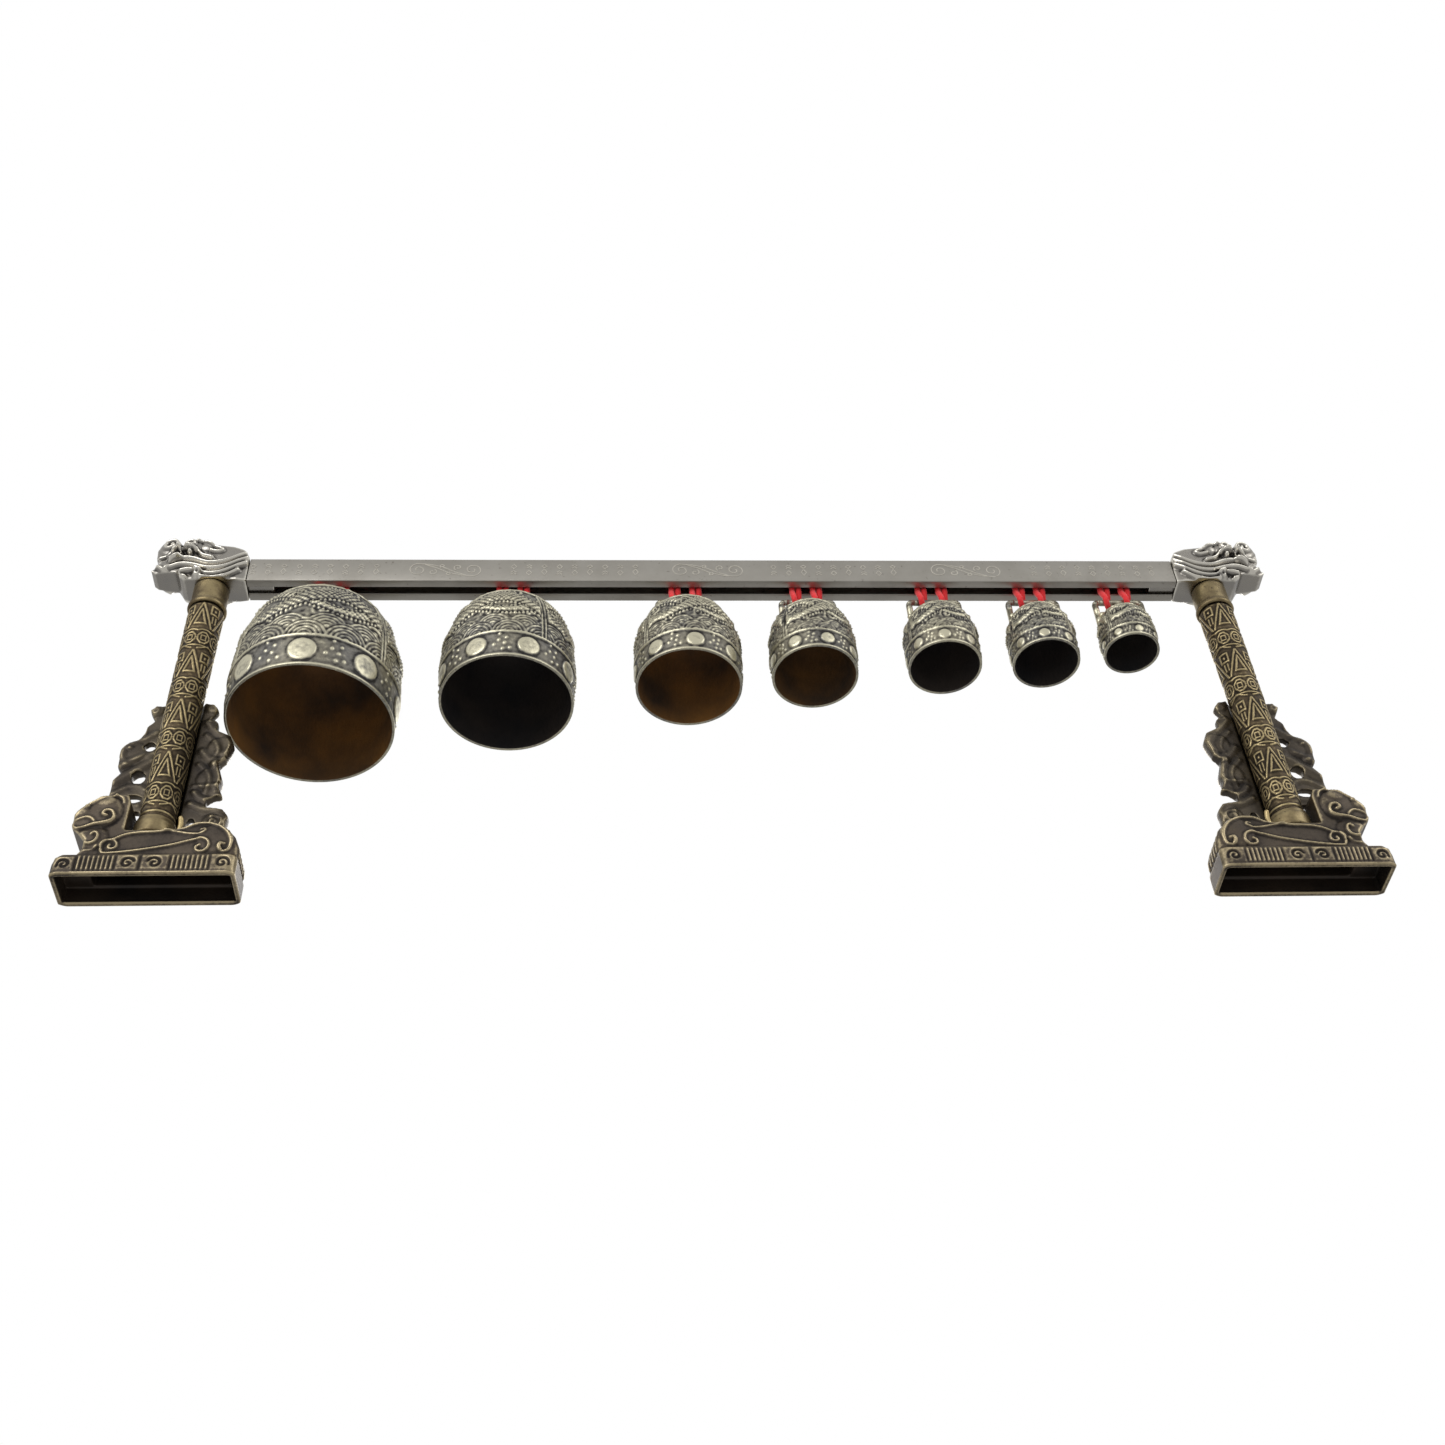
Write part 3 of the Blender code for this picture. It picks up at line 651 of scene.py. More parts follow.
def bellPattern(angle, rise, radius, shape, twist):
    # height of the cast pattern in mm, and the extra polish of the coins; rise is above the mouth
    mouth, height = shape["mouth"] / mm, shape["height"] / mm
    scale = (mouth / 54) ** 0.6
    angle = angle + math.radians(twist)
    turn = angle / (2 * math.pi)
    girth = 2 * math.pi * radius
    coinRise, lineRise, shoulderRise = 0.118 * height, 0.235 * height, 0.80 * height
    coinRadius = 0.088 * mouth
    result = np.zeros(len(angle))
    # band of coins and dots along the mouth
    around = wrapped(turn * bells["coins"]) / bells["coins"] * girth
    reach = np.hypot(around, rise - coinRise)
    coin = 0.42 * plateau(reach, coinRadius, 0.35)
    polish = 0.20 * plateau(reach, coinRadius - 0.2, 0.5) * (rise > 0.9) * (rise < lineRise - 0.6)
    between = wrapped(turn * bells["coins"] + 0.5) / bells["coins"] * girth
    for k in range(bells["dots"]):
        spot = 0.125 * mouth * math.sqrt((k + 0.4) / bells["dots"])
        across, up = 0.62 * spot * math.cos(2.4 * k), 0.80 * spot * math.sin(2.4 * k)
        reach = np.hypot(between - across, rise - coinRise - up)
        coin = np.maximum(coin, 0.5 * ridge(reach, 0.80 * scale))
    result += coin * (rise < lineRise - 0.6) * (rise > 0.9)
    # waves that stand on the upper line, in two overlapping rows
    waveReach = 0.60 * girth / bells["waves"]
    first = wrapped(turn * bells["waves"]) / bells["waves"] * girth
    second = wrapped(turn * bells["waves"] + 0.5) / bells["waves"] * girth
    near = np.hypot(first, rise - lineRise)
    far = np.hypot(second, rise - lineRise - 0.55 * waveReach)
    lines = 1.45 * scale
    front = near < waveReach
    behind = (far < waveReach * 0.95) & ~front
    rows = np.where(front, near, far)
    wave = 0.16 + 0.18 * np.cos(2 * math.pi * (waveReach - rows) / lines)
    above = rise > lineRise
    result += np.where(above & (front | behind), wave, 0)
    free = above & ~(front | behind) & (rise < shoulderRise - 0.8)
    # the long scaled body that winds about the middle of the bell, and a thin tail that crosses it
    along = turn * girth.max()
    covered = np.zeros(len(angle), bool)
    for at, swing, phase, thickness in ((0.57, 0.105, 0.6, 3.1), (0.60, 0.12, 3.5, 1.7)):
        middle = at * height + swing * height * np.sin(3 * angle + phase)
        slope = 3 * swing * height * np.cos(3 * angle + phase) / np.maximum(radius, 1)
        off = (rise - middle) / np.sqrt(1 + slope ** 2)
        thick = thickness * scale * (1 + 0.28 * np.sin(5 * angle + phase))
        body = np.sqrt(np.clip(1 - (off / thick) ** 2, 0, 1))
        pitch = 2 * math.pi / (1.9 * scale)
        scales = np.cos(pitch * along) * np.cos(pitch * off)
        beads = 0.5 + 0.5 * np.cos(pitch * 1.2 * along)
        spine = ridge(np.abs(off) - thick - 0.7 * scale, 0.9 * scale) * beads
        part = 0.78 * body + 0.27 * scales * (body > 0.2) + 0.62 * spine
        here = (body > 0.05) | (spine > 0.05)
        result = np.where(free & here & ~covered, part, result)
        covered |= here
    # cloud curls above and below it
    for k in range(bells["curls"] * 2):
        place = (k + 0.5) / (bells["curls"] * 2)
        up = (0.71 if k % 2 else 0.42) * height + 0.07 * height * math.sin(6 * math.pi * place + 0.6)
        across = wrapped(turn - place) * girth
        reach = np.hypot(across, rise - up)
        winding = np.arctan2(rise - up, across) * (1 if k % 2 else -1)
        swirl = np.clip(np.cos(winding + 2 * math.pi * reach / (2.7 * scale)) + 0.2, 0, 1)
        curls = 0.42 * swirl * plateau(reach, 4.3 * scale, 0.8)
        result = np.where(free & ~covered, np.maximum(result, curls), result)
    # side bars, shoulder lines, upper line and rim
    for bar in (58, 122, -58, -122):
        across = wrapped(turn - bar / 360) * girth
        inBar = (np.abs(across) < 1.5 * scale) & above & (rise < shoulderRise)
        pair = 0.55 * ridge(np.abs(across) - 0.75 * scale, 0.55 * scale)
        result = np.where(inBar, pair, result)
    result = np.where(rise > shoulderRise - 0.7 * scale, 0.12, result)
    result += 0.50 * ridge(rise - shoulderRise, 0.65 * scale)
    result += 0.32 * ridge(rise - shoulderRise - 1.5 * scale, 0.5 * scale)
    result = np.maximum(result, 0.60 * ridge(rise - lineRise, 0.60 * scale))
    ground = uneven(turn * girth.max(), rise, 3.4 * scale)
    result += np.where(above, 0.10, 0.04) * ground
    return result, polish


def shapeBell(number):
    shape = bellShape(number)
    wall = 0.0011 + 0.0135 * shape["mouth"]
    height = shape["height"]
    step = max(bells["rowStep"], shape["widest"] / 68)
    rows = int(1.25 * (height + 0.35 * shape["widest"]) / step)
    steps = max(230, int(2 * math.pi * shape["widest"] / step))
    outside = []
    for k in range(rows + 1):
        # even steps along the wall, closer over the shoulder
        share = math.sin(0.5 * math.pi * k / rows) ** 0.92
        outside.append((bellRadius(shape, share), share * height))
    # the wall thins towards the mouth, down to a narrow rubbed lip
    mouth = bellRadius(shape, 0)
    rim = [(mouth - bells["lip"], 0.0001), (mouth - 0.5 * bells["lip"], 0.0)]
    innerHeight = height - 1.3 * wall
    inside = [(0.0, innerHeight)]
    for k in range(1, bells["insideRows"] + 1):
        share = 1 - (k / bells["insideRows"]) ** 1.6
        thickness = bells["lip"] + (wall - bells["lip"]) * min(1, share * height / 0.006)
        reach = max(0.0, bellRadius(shape, share) - thickness)
        inside.append((reach, 0.0003 + share * (innerHeight - 0.0003)))
    profile = inside + rim + outside
    bm = latheTurned(profile, steps)
    middle = Vector((0, 0, bells["centre"] * height))
    for face in bm.faces:
        centre = face.calc_center_median()
        if face.normal.dot(centre - middle) < 0 and centre.z > 0.0002:
            face.material_index = 1
    return bm, shape


def reliefOnBell(bm, shape, twist):
    layer = bm.verts.layers.float.new("polish")
    points = np.array([v.co for v in bm.verts])
    normals = np.array([v.normal for v in bm.verts])
    middle = np.array([0, 0, bells["centre"] * shape["height"]])
    outer = ((points - middle) * normals).sum(1) > 0
    radius = np.hypot(points[:, 0], points[:, 1])
    angle = np.arctan2(points[:, 0], -points[:, 1])
    rise = points[:, 2] / mm
    height, polish = bellPattern(angle, rise, np.maximum(radius, 0.001) / mm, shape, twist)
    height *= mm
    edge = np.clip((rise - 0.5) / 0.8, 0, 1) * np.clip(radius / (0.3 * shape["widest"]) - 0.6, 0, 1)
    shift = (height - bells["sink"]) * edge * outer
    moved = points + normals * shift[:, None]
    for vert, place, shine in zip(bm.verts, moved, polish * outer):
        vert.co = place
        vert[layer] = shine


def addCrown(bm, shape):
    # the bar that the cords pass under, and a small lug on each shoulder
    bar, top = bells["barRadius"], shape["height"] + bells["crownRise"]
    reach = 0.0066 + 0.16 * shape["widest"]
    share = 1.0
    while bellRadius(shape, share) < reach + 0.0004:
        share -= 0.01
    foot = share * shape["height"] - 0.0012
    bend = 0.0014
    half = [(reach, foot), (reach, top - 2.2 * bend), (reach, top - bend),
            (reach - 0.3 * bend, top - 0.3 * bend), (reach - bend, top), (reach - 2.5 * bend, top)]
    path = [(-x, 0, z) for x, z in half] + [(x, 0, z) for x, z in reversed(half)]
    sweep(bm, smoothPath(path, 4), bar, sides=14)
    for way in (-1, 1):
        lug = bmesh.ops.create_uvsphere(bm, u_segments=14, v_segments=10, radius=1.0)["verts"]
        share = 0.86
        place = (way * bellRadius(shape, share), -0.0004, share * shape["height"] + 0.0003)
        size = 0.00105 + 0.022 * shape["widest"]
        bmesh.ops.scale(bm, vec=(size * 1.1, size * 0.9, size), verts=lug)
        bmesh.ops.translate(bm, vec=place, verts=lug)


def makeBell(number):
    bm, shape = shapeBell(number)
    reliefOnBell(bm, shape, bells["twist"][number - 1])
    addCrown(bm, shape)
    bmesh.ops.translate(bm, verts=bm.verts, vec=(shape["x"], 0, shape["foot"]))
    inner = "bellInsideAmber" if number in bells["amber"] else "bellInsideBlack"
    piece = addPiece(bm, f"bell_{number}_cast", ("bellSilver", inner), f"ringer_{number}",
                     (f"bell_{number}",), "bell_silver")
    foot = shape["foot"]
    markWearAndGrooveShade(piece, *wearAndGrooveShadeReach["bell"], between=(foot + 0.0005, foot + shape["height"]))


for number in range(1, 8):
    makeBell(number)
print("bells are cast")


# Columns and collars

column = {"steps": 150, "rowStep": 0.00027, "sink": 0.00020, "around": 4, "repeat": 23.2, "start": 0.4,
          "triangle": 12.2, "coinAt": 17.2, "coinRadius": 2.15, "rule": 0.66, "taper": 0.09,
          "turned": {"left": 4, "right": -6}, "neck": 0.0050, "tenon": 0.0030, "tenonFoot": 0.1337,
          "seatTop": 0.1217, "seatFoot": 0.0253}   # the patterned length lies between the two seats


def columnPattern(angle, down, radius):
    # height of the cast pattern in mm; down is below the top collar
    past = down > 4 * column["repeat"] + column["start"]
    down = (down - column["start"]) % column["repeat"]
    turn = angle / (2 * math.pi) * column["around"]
    pitch = 2 * math.pi * radius / column["around"]
    across = np.abs(wrapped(turn)) * pitch
    aside = np.abs(wrapped(turn + 0.5)) * pitch
    rule = column["rule"]
    # a tall triangle of one double line round a smaller solid-sided one
    lean = 0.46 * pitch / column["triangle"]
    legs = ridge(across - down * lean, rule)
    inner = ridge(across - (down - 3.4) * 0.27, rule) * (down > 3.0) * (down < 10.6)
    legs = np.maximum(legs, inner)
    legs = np.maximum(legs, ridge(down - 10.2, rule) * (across < 2.1))
    # a square hook and two upright lines between the triangles
    block = np.maximum(aside, 0.8 * np.abs(down - 2.9))
    legs = np.maximum(legs, ridge(block - 1.5, rule * 0.8) * (across > down * lean + 0.5))
    legs = np.maximum(legs, ridge(block, rule * 0.9))
    legs = np.maximum(legs, ridge(aside - 0.62, rule * 0.7) * (down > 5.6) * (down < 9.6 - 0.6 * aside))
    # eight-sided coins with a square hole, and a brow over each
    beside = np.abs(wrapped(turn * 2 + 0.5)) * pitch / 2
    fall = 0.76 * np.abs(down - column["coinAt"])
    reach = np.maximum(np.maximum(beside, fall), 0.74 * (beside + fall))
    coin = np.maximum(ridge(reach - column["coinRadius"] + 0.25, rule * 0.95),
                      ridge(np.maximum(beside, fall) - 0.85, rule * 0.66))
    brow = ridge(down - 13.2 - 0.10 * beside ** 2, rule * 0.8)
    bands = np.maximum(brow, ridge(down - 20.9, rule * 0.8))
    bands = np.maximum(bands, ridge(down - 22.3 + 0.09 * across ** 2, rule * 0.7) * (across > 0.8))
    link = ridge(fall, rule * 0.7) * (beside > column["coinRadius"] - 0.1)
    pattern = np.where(down < column["triangle"], legs, np.maximum(np.maximum(coin, link), bands))
    pattern = np.where(past, ridge(down - 1.6, rule), pattern)
    return 0.32 * pattern + 0.04 * uneven(turn * pitch, down, 3.0)


def makeColumn(label):
    low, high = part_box(f"{label}_column")
    radius = (high.x - low.x) / 2
    neck, tenon, tenonFoot = column["neck"], column["tenon"], column["tenonFoot"]
    seatTop, seatFoot = column["seatTop"], column["seatFoot"]
    rows = int((seatTop - seatFoot) / column["rowStep"])
    profile = [(0.0, low.z), (neck, low.z), (neck, seatFoot)]
    profile += [(radius, seatFoot + (seatTop - seatFoot) * k / rows) for k in range(rows + 1)]
    profile += [(neck, seatTop), (neck, tenonFoot), (tenon, tenonFoot), (tenon, high.z - 0.0004),
                (tenon - 0.0004, high.z), (0.0, high.z)]
    bm = latheTurned(profile, column["steps"])
    points = np.array([v.co for v in bm.verts])
    reach = np.hypot(points[:, 0], points[:, 1])
    angle = np.arctan2(points[:, 0], -points[:, 1]) - math.radians(column["turned"][label])
    height = columnPattern(angle, (seatTop - points[:, 2]) / mm, radius / mm) * mm - column["sink"]
    drop = (seatTop - points[:, 2]) / (seatTop - seatFoot)
    grow = np.where(reach > radius - 0.00001, 1 + height / radius - column["taper"] * drop, 1)
    for vert, (x, y, z), share in zip(bm.verts, points, grow):
        vert.co = (x * share, y * share, z)
    bmesh.ops.translate(bm, verts=bm.verts, vec=((low.x + high.x) / 2, 0, 0))
    piece = addPiece(bm, f"{label}_column_cast", ("columnBrass",), "stand", (f"{label}_column",),
                     "column_brass")
    markWearAndGrooveShade(piece, *wearAndGrooveShadeReach["column"])


collars = {"steps": 72,
           "top": [(0.0053, 0.1), (0.0056, 0.1), (0.0059, 0.4), (0.0060, 1.2), (0.0060, 8.4), (0.0061, 9.2),
                   (0.00625, 9.6), (0.0065, 10.1), (0.0066, 10.7), (0.0066, 11.1), (0.0064, 11.6),
                   (0.0061, 11.8), (0.0053, 11.9)],
           "foot": [(0.0053, 0.1), (0.0057, 0.1), (0.0060, 0.35), (0.0061, 0.9), (0.00605, 1.3),
                    (0.0063, 1.8), (0.00642, 2.6), (0.00642, 6.2), (0.0064, 6.9), (0.0053, 6.9)]}


def makeCollar(label, which):
    # a turned sleeve; the profile gives the radius and how far below the top edge, in mm
    low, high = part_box(f"{label}_{which}_collar")
    share = min(1, (high.z - low.z) / (max(down for _, down in collars[which]) * mm))
    profile = [(r, high.z - (down - 0.1) * mm * share) for r, down in collars[which]]
    bm = latheTurned(profile, collars["steps"], closed=True)
    bmesh.ops.translate(bm, verts=bm.verts, vec=((low.x + high.x) / 2, 0, 0))
    addPiece(bm, f"{label}_{which}_sleeve", ("collarBrass",), "stand", (f"{label}_{which}_collar",),
             "collar_brass")


for label in sides:
    makeColumn(label)
    makeCollar(label, "top")
    makeCollar(label, "foot")
print("columns and collars are made")


# Bases

baseDesign = {
    "part": "base", "name": "base", "finish": ("agedBronze", "baseInside"), "slot": "aged_bronze",
    "grid": 0.00032, "rounds": 1, "broad": 0.85, "eased": 1, "depth": 0.0061,
    "domes": [((15.6, 24.8), 7.0, 1.5), ((19.8, 25.2), 3.2, 2.1), ((14.0, 28.0), 3.2, 1.9),
              ((18.3, 26.9), 0.9, 2.7), ((22.3, 24.0), 1.2, 2.2), ((-20.5, 14.0), 5.5, 0.8),
              ((15.5, 14.5), 4.5, 0.9)],
    "plates": [((-27.6, 1.0), (-20.6, 7.0), 0.45), ((-8.6, 1.2), (-0.6, 6.9), 0.45),
               ((0.2, 1.2), (6.6, 6.9), 0.45), ((18.6, 1.0), (24.8, 6.4), 0.45)],
    "lines": [
        ([(19.9, 28.2), (18.2, 28.1), (16.2, 29.3), (13.6, 31.0), (11.4, 31.4)], 0.75, 0.9),
        ([(11.6, 31.6), (9.6, 30.6), (8.8, 28.4)], 0.7, 0.6),
        ([(22.0, 21.0), (20.6, 19.4), (18.4, 18.9), (15.7, 19.6), (12.8, 20.0), (11.0, 20.8),
          (10.5, 22.4), (11.4, 24.2), (13.0, 24.4), (13.6, 23.2), (12.6, 22.5)], 0.8, 1.0),
        ([(20.6, 22.0), (19.0, 22.5), (17.6, 22.7), (16.4, 21.9), (15.4, 20.6)], 0.65, 0.7),
        ([(18.4, 12.6), (16.2, 11.8), (14.4, 12.7), (13.9, 14.9), (14.9, 16.2), (16.0, 15.2)], 0.65, 0.7),
        ([(17.2, 9.6), (14.8, 9.8), (13.6, 11.2)], 0.6, 0.5),
        ([(9.2, 13.8), (6.0, 15.6), (2.0, 16.4), (-3.8, 16.8), (-8.0, 17.9), (-10.7, 18.5),
          (-14.5, 19.8), (-18.5, 19.8), (-21.9, 18.0), (-24.2, 15.4), (-25.3, 12.2), (-24.6, 9.4),
          (-22.9, 8.9), (-21.8, 10.3), (-22.3, 11.6), (-23.2, 11.4)], 0.7, 0.8),
        ([(-5.2, 17.3), (-9.1, 16.6), (-12.8, 15.9), (-15.7, 15.9), (-17.2, 16.8), (-16.6, 17.8),
          (-15.6, 17.3)], 0.6, 0.65),
        ([(12.3, 9.6), (11.6, 8.5), (8.6, 8.5), (0.7, 9.6), (-7.7, 11.4), (-13.2, 13.2), (-16.4, 13.8),
          (-18.6, 12.4), (-18.9, 10.2), (-17.5, 9.0), (-15.6, 9.3), (-15.2, 10.7), (-16.3, 11.2)],
         0.65, 0.75),
        ([(12.3, 9.6), (12.4, 11.8), (10.8, 13.5), (8.6, 13.0), (7.9, 11.2), (9.0, 10.0), (10.3, 10.6),
          (10.0, 11.7)], 0.65, 0.75),
        ([(-27.9, 0.5), (-10.0, 0.5), (10.0, 0.5), (25.3, 0.5)], 0.7, 0.35)],
    "curls": [((-24.0, 3.9), 2.1, 200, -1.3, 0.55, -0.75), ((-4.5, 3.9), 2.1, 20, 1.3, 0.55, -0.75),
              ((3.3, 3.9), 2.0, 160, -1.3, 0.55, -0.75), ((21.6, 3.6), 1.9, 340, 1.3, 0.55, -0.75)],
    "ribs": [(-19.6, -9.7, 8, 1.2, 6.8, 0.60, 0.62), (7.7, 17.4, 8, 1.2, 6.8, 0.60, 0.62)],
}


baseEnds = {"ribRise": 0.5, "ribPitch": 2.6, "ribWidth": 1.0, "headReach": 1.3, "headTaper": 0.18,
            "cornerTaper": 0.16}


def shapeEnds(piece, side):
    # upright ribs on the haunch at the inner end, and corners drawn in at both ends
    points = readAll(piece.data.vertices, "co", 3)
    normals = readAll(piece.data.vertices, "normal", 3)
    outward = side * points[:, 0] / mm - post
    rise = points[:, 2] / mm
    inner = (-side * normals[:, 0] > 0.5) & (outward < -22) & (rise > 7.6) & (rise < 16.5)
    pitch = baseEnds["ribPitch"]
    ribs = baseEnds["ribRise"] * ridge(wrapped(points[:, 1] / mm / pitch) * pitch, baseEnds["ribWidth"])
    points[:, 0] -= side * np.where(inner, ribs, 0) * mm
    # the head reaches further out than its neck and is narrower at the muzzle
    head = np.clip((outward - 11.0) / 9.0, 0, 1) * np.clip((rise - 16.5) / 3.0, 0, 1)
    points[:, 0] += side * baseEnds["headReach"] * mm * head
    points[:, 1] *= 1 - baseEnds["headTaper"] * head
    past = np.clip(np.maximum(outward - 22.5, -25.0 - outward) / 3.0, 0, 1)
    points[:, 1] *= 1 - baseEnds["cornerTaper"] * past ** 2
    setPoints(piece.data, points)


def blackenInside(bm, side):
    # the sooty hollow under the casting
    for face in bm.faces:
        place = face.calc_center_median() / mm
        outward = side * place.x - post
        low = -27.0 < outward < 24.5 and abs(place.y) < 6.6 and 0.6 < place.z < 7.0
        high = -24.8 < outward < 16.3 and abs(place.y) < 5.6 and 5.0 < place.z < 16.8
        face.material_index = 1 if low or high else 0


lug = {"out": -8.8, "forward": -5.5, "foot": 17.4, "tall": 5.8, "radius": 0.75}


def makeLug(label, side):
    # a small rubbed tongue that stands beside the column on its inner side
    bm = bmesh.new()
    x, y, z = side * (post + lug["out"]), lug["forward"], lug["foot"]
    path = [(x, y, z), (x - side * 0.25, y, z + 0.5 * lug["tall"]),
            (x + side * 0.15, y, z + lug["tall"])]
    sweep(bm, smoothPath([[v * mm for v in p] for p in path], 5), lug["radius"] * mm, sides=14)
    top = bmesh.ops.create_uvsphere(bm, u_segments=14, v_segments=10, radius=lug["radius"] * mm)["verts"]
    bmesh.ops.translate(bm, vec=[v * mm for v in path[-1]], verts=top)
    addPiece(bm, f"{label}_base_lug", ("lugBrass",), "stand", (), "aged_bronze")


for label, side in sides.items():
    makeCasting(label, side, baseDesign, shapeEnds, blackenInside)
    makeLug(label, side)
print("bases are cast")


# Brackets

bracketDesign = {
    "part": "bracket", "name": "bracket", "finish": ("bracketBronze",), "slot": "bracket_bronze",
    "grid": 0.00030, "rounds": 2, "broad": 1.9, "rise": 0.75, "eased": 3, "depth": 0.0,
    "domes": [((-13.6, 60.5), 4.2, 1.0), ((-13.0, 46.5), 5.0, 0.9), ((13.4, 58.2), 4.4, 1.1),
              ((14.4, 59.6), 0.9, 1.9), ((-16.2, 28.8), 3.6, 1.0), ((9.2, 76.9), 2.6, 1.1),
              ((-8.6, 78.0), 2.3, 1.0), ((12.6, 68.0), 2.2, 0.7), ((-12.0, 24.0), 3.2, 0.6)],
    "lines": [
        ([(-8.0, 71.5), (-11.5, 67.2), (-15.4, 64.2), (-16.9, 60.0), (-15.2, 55.8), (-12.6, 52.4)], 1.1, 0.9),
        ([(-8.4, 66.0), (-11.6, 62.6), (-13.2, 58.8), (-12.6, 55.6)], 0.8, 0.6),
        ([(-8.2, 58.6), (-12.2, 54.0), (-14.8, 49.6), (-15.6, 45.2), (-14.8, 41.4)], 1.2, 1.0),
        ([(-8.0, 53.0), (-11.2, 49.4), (-12.6, 45.4), (-12.0, 41.2)], 0.8, 0.7),
        ([(-7.8, 43.8), (-12.2, 43.2), (-15.0, 43.6)], 0.6, 0.5),
        ([(-16.2, 39.0), (-13.2, 37.9), (-10.4, 38.8), (-8.4, 41.0)], 0.9, 0.8),
        ([(-8.0, 36.0), (-12.4, 33.9), (-16.8, 33.2), (-19.4, 30.6), (-19.4, 26.8)], 1.1, 1.0),
        ([(-9.2, 22.0), (-13.0, 24.2), (-15.4, 27.4), (-15.0, 30.6)], 0.8, 0.6),
        ([(7.6, 67.0), (10.2, 64.6), (13.4, 62.6), (16.2, 59.6), (16.6, 55.4), (14.4, 52.6)], 1.0, 0.8),
        ([(16.8, 51.6), (13.2, 54.0), (9.4, 56.4), (7.0, 57.6)], 1.1, 0.9),
        ([(16.8, 45.4), (13.4, 48.6), (10.2, 51.4), (7.2, 54.2)], 1.5, 1.2),
        ([(16.4, 40.6), (12.0, 43.6), (8.6, 43.4), (7.0, 42.2)], 0.9, 0.7),
        ([(16.0, 34.8), (12.0, 35.2), (8.0, 35.6)], 0.9, 0.6)],
    "curls": [((-16.6, 28.0), 2.6, 60, 1.4, 0.6, 0.7), ((9.4, 76.9), 1.8, 90, -1.3, 0.5, 0.5),
              ((12.0, 67.0), 1.9, 60, -1.3, 0.5, 0.6), ((-9.2, 73.2), 1.6, 150, 1.2, 0.5, 0.5)],
}

for label, side in sides.items():
    makeCasting(label, side, bracketDesign)
print("brackets are cast")


# Beam

beam = {"edge": 0.00045, "lineRadius": 0.00027, "lift": 0.00012, "clouds": (-0.095, -0.0035, 0.088),
        "markGroups": (-0.140, -0.050, 0.041, 0.1335), "markPitch": 0.0053, "marksInGroup": 9}


def strokeOn(bm, front, centre, middle, points):
    path = [(centre + u * mm, front + beam["lift"], middle + v * mm) for u, v in points]
    made = sweep(bm, path, beam["lineRadius"], sides=6)
    for face in {f for v in made for f in v.link_faces}:
        face.material_index = 1


def cloudBand():
    # a long cloud in mm: a round curl at each end, joined by slanting lines, with small curls between
    band = []
    for way in (-1, 1):
        end = curl((0, 0), 3.3, 80, -1.35)
        line = [(-x - 9.4, z) for x, z in reversed(end)]
        line += [(-5.8, 2.9), (-1.0, 1.5), (3.4, -1.2), (7.2, -2.8)]
        for path in (line, curl((-4.4, -1.2), 1.6, 60, -1.1), curl((1.0, -2.0), 1.0, 60, -1.0)):
            band.append([(way * u, way * v) for u, v in path])
    return band


def makeBeam():
    low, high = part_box("beam_channel")
    bm = nodeMesh("beam_channel")
    bmesh.ops.dissolve_limit(bm, angle_limit=math.radians(2), verts=bm.verts, edges=bm.edges)
    longEdges = [e for e in bm.edges if abs((e.verts[0].co - e.verts[1].co).x) > 0.2]
    bmesh.ops.bevel(bm, geom=longEdges, offset=beam["edge"], offset_type="OFFSET", segments=3, profile=0.5,
                    affect="EDGES", material=-1, clamp_overlap=True)
    middle = (low.z + high.z) / 2
    for centre in beam["clouds"]:
        for points in cloudBand():
            strokeOn(bm, low.y, centre, middle, points)
    for group in beam["markGroups"]:
        for k in range(beam["marksInGroup"]):
            centre = group + (k - (beam["marksInGroup"] - 1) / 2) * beam["markPitch"]
            engraveMark(bm, low.y, centre, middle, k)
    piece = addPiece(bm, "beam_bent_channel", ("beamNickel", "beamMarks"), "stand", ("beam_channel",),
                     "beam_nickel")
    piece.data.set_sharp_from_angle(angle=math.radians(28))


def engraveMark(bm, front, x, z, kind):
    # plain ornament in two parts: lozenges and pairs of chevrons, not writing
    def lozenge(v, tall):
        strokeOn(bm, front, x, z, [(0, v + tall), (0.95, v), (0, v - tall), (-0.95, v), (0, v + tall)])

    def chevrons(v):
        for foot in (v - 0.5, v + 0.6):
            strokeOn(bm, front, x, z, [(-1.0, foot - 0.35), (0.0, foot + 0.45), (1.0, foot - 0.35)])

    if kind % 3 == 0:
        lozenge(1.7, 1.15)
        chevrons(-1.6)
    elif kind % 3 == 1:
        chevrons(1.7)
        lozenge(-1.5, 1.25)
    else:
        lozenge(1.9, 0.85)
        lozenge(-1.1, 1.55)


makeBeam()
print("beam is bent and marked")


# Dragon-head caps

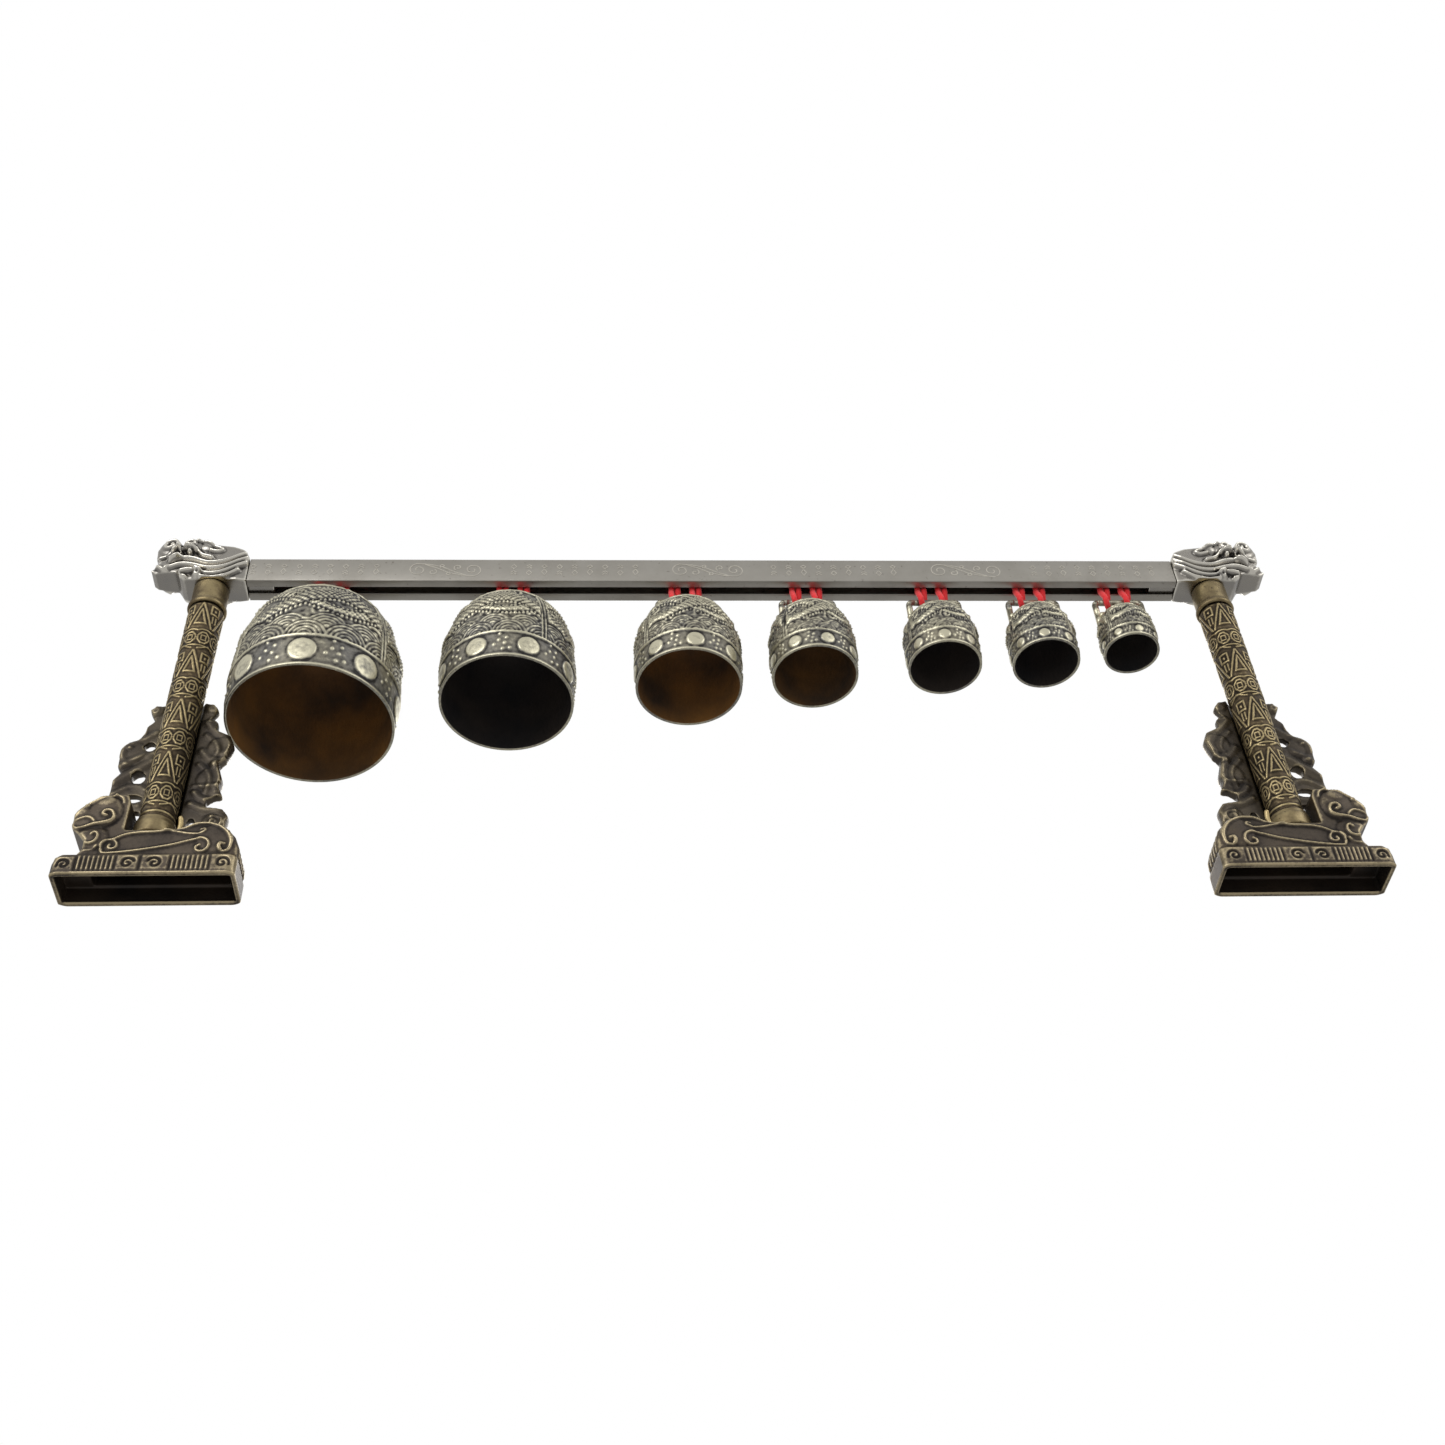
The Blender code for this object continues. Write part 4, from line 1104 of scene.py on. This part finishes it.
capDesign = {
    "part": "dragon_cap", "name": "cap", "finish": ("capPewter",), "slot": "cap_pewter",
    "grid": 0.00026, "rounds": 1, "taper": 0.30, "neckTaper": 0.105, "eased": 3,
    "depth": 0.0046,
    "domes": [((15.8, 151.2), 4.4, 1.6), ((8.0, 150.8), 3.6, 1.6), ((8.6, 147.2), 1.1, 2.6),
              ((13.6, 145.0), 3.2, 1.4), ((3.2, 150.6), 2.4, 1.1), ((17.2, 141.8), 3.0, 1.1),
              ((4.6, 136.0), 2.0, 1.3)],
    "lines": [
        ([(14.6, 142.6), (10.6, 144.2), (6.6, 143.6), (1.6, 141.6), (-3.4, 142.2), (-8.2, 144.8),
          (-12.4, 148.2)], 1.35, 2.0),
        ([(15.6, 139.6), (11.4, 141.0), (6.4, 140.2), (1.0, 138.6), (-4.0, 139.4), (-8.6, 142.2),
          (-12.6, 145.4)], 1.35, 2.1),
        ([(10.4, 137.4), (6.6, 137.8), (2.0, 136.0), (-2.6, 136.2), (-7.2, 138.8), (-11.8, 142.4)], 1.3, 2.0),
        ([(3.0, 134.4), (-1.4, 134.0), (-5.8, 135.4), (-9.2, 138.2)], 1.15, 1.7),
        ([(19.0, 141.0), (15.6, 138.2), (12.0, 136.0), (8.6, 134.8)], 1.1, 1.5),
        ([(12.2, 148.8), (9.2, 149.4), (6.0, 148.0), (4.0, 145.8), (0.6, 144.6)], 1.1, 1.8),
        ([(12.8, 149.4), (11.4, 146.6), (12.2, 144.2), (14.6, 143.4)], 0.9, 1.5),
        ([(19.0, 146.0), (15.6, 146.8), (13.0, 149.2)], 1.0, 1.4),
        ([(6.4, 152.8), (2.8, 152.2), (0.0, 150.4), (-2.4, 149.2), (-1.0, 148.0), (1.6, 148.6)], 1.0, 1.5)],
    "curls": [((15.8, 151.2), 3.5, 250, -1.30, 1.05, 1.5), ((8.4, 151.0), 2.4, 270, 1.1, 0.85, 1.2),
              ((4.6, 136.0), 1.7, 60, 1.0, 0.6, 0.9)],
}


def narrowHead(piece, side):
    # the head narrows towards the muzzle, and its neck towards the beam
    points = readAll(piece.data.vertices, "co", 3)
    outward = side * points[:, 0] / mm - post
    past = np.clip((outward - 8.0) / 12.0, 0, 1)
    meet = np.clip((-8.8 - outward) / 3.4, 0, 1)
    points[:, 1] *= 1 - capDesign["taper"] * past ** 1.3 - capDesign["neckTaper"] * meet
    setPoints(piece.data, points)


for label, side in sides.items():
    makeCasting(label, side, capDesign, narrowHead)
print("caps are cast")


# Cords

cords = {"radius": 0.00105, "strandShift": 0.00115, "loopShift": 0.00365, "gap": 0.0003, "rod": 0.0010,
         "rodZ": 0.1402, "bar": 0.0011, "barZ": 0.1278, "slotZ": 0.13445, "bend": 0.0011}


def loopPath():
    # down through the slot, under the crown bar, up again and over the rod
    shift = cords["strandShift"]
    under = cords["bar"] + cords["gap"] + cords["radius"]
    over = cords["rod"] + cords["gap"] + cords["radius"]
    slotZ, barZ, rodZ = cords["slotZ"], cords["barZ"], cords["rodZ"]
    def halfTurn(way, reach, z):
        angles = [math.pi * k / 4 for k in range(5)]
        return [(way * 0.9 * shift * math.cos(a), way * reach * math.cos(a), z + way * reach * math.sin(a))
                for a in angles]

    path = [(-shift, 0, slotZ), (-shift, -0.0003, slotZ - 0.0016), (-shift, -0.0016, barZ + 0.0024)]
    path += halfTurn(-1, under, barZ)
    path += [(shift, 0.0016, barZ + 0.0024), (shift, 0.0003, slotZ - 0.0016), (shift, 0, slotZ),
             (shift, 0.0010, slotZ + 0.0029)]
    return path + halfTurn(1, over, rodZ) + [(-shift, -0.0010, slotZ + 0.0029)]


def makeLoop(number, label, side):
    low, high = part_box(f"bell_{number}")
    x = (low.x + high.x) / 2 + side * cords["loopShift"]
    path = [(x + px, py, pz) for px, py, pz in smoothPath(loopPath(), 7, closed=True)]
    bm = bmesh.new()
    sweep(bm, path, cords["radius"], sides=18, closed=True, braid=0.13, plaits=3)
    piece = addPiece(bm, f"cord_{number}_{label}_loop", ("redCord",), None,
                     (f"cord_{number}_{label}_hanging", f"cord_{number}_{label}_over_rod"), "red_cord")
    # on the cord, how far each point stands proud drives the painted shade in the braid's grooves
    markWearAndGrooveShade(piece, *wearAndGrooveShadeReach["cord"])
    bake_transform(piece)


for number in range(1, 8):
    for label, side in sides.items():
        makeLoop(number, label, side)
print("cords are threaded")


# Rod and screws keep their own shape

for node in ("hanging_rod", "left_base_screw", "right_base_screw"):
    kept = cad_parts[node]
    for slot in kept.material_slots:
        slot.material = finishes["plainSteel"]
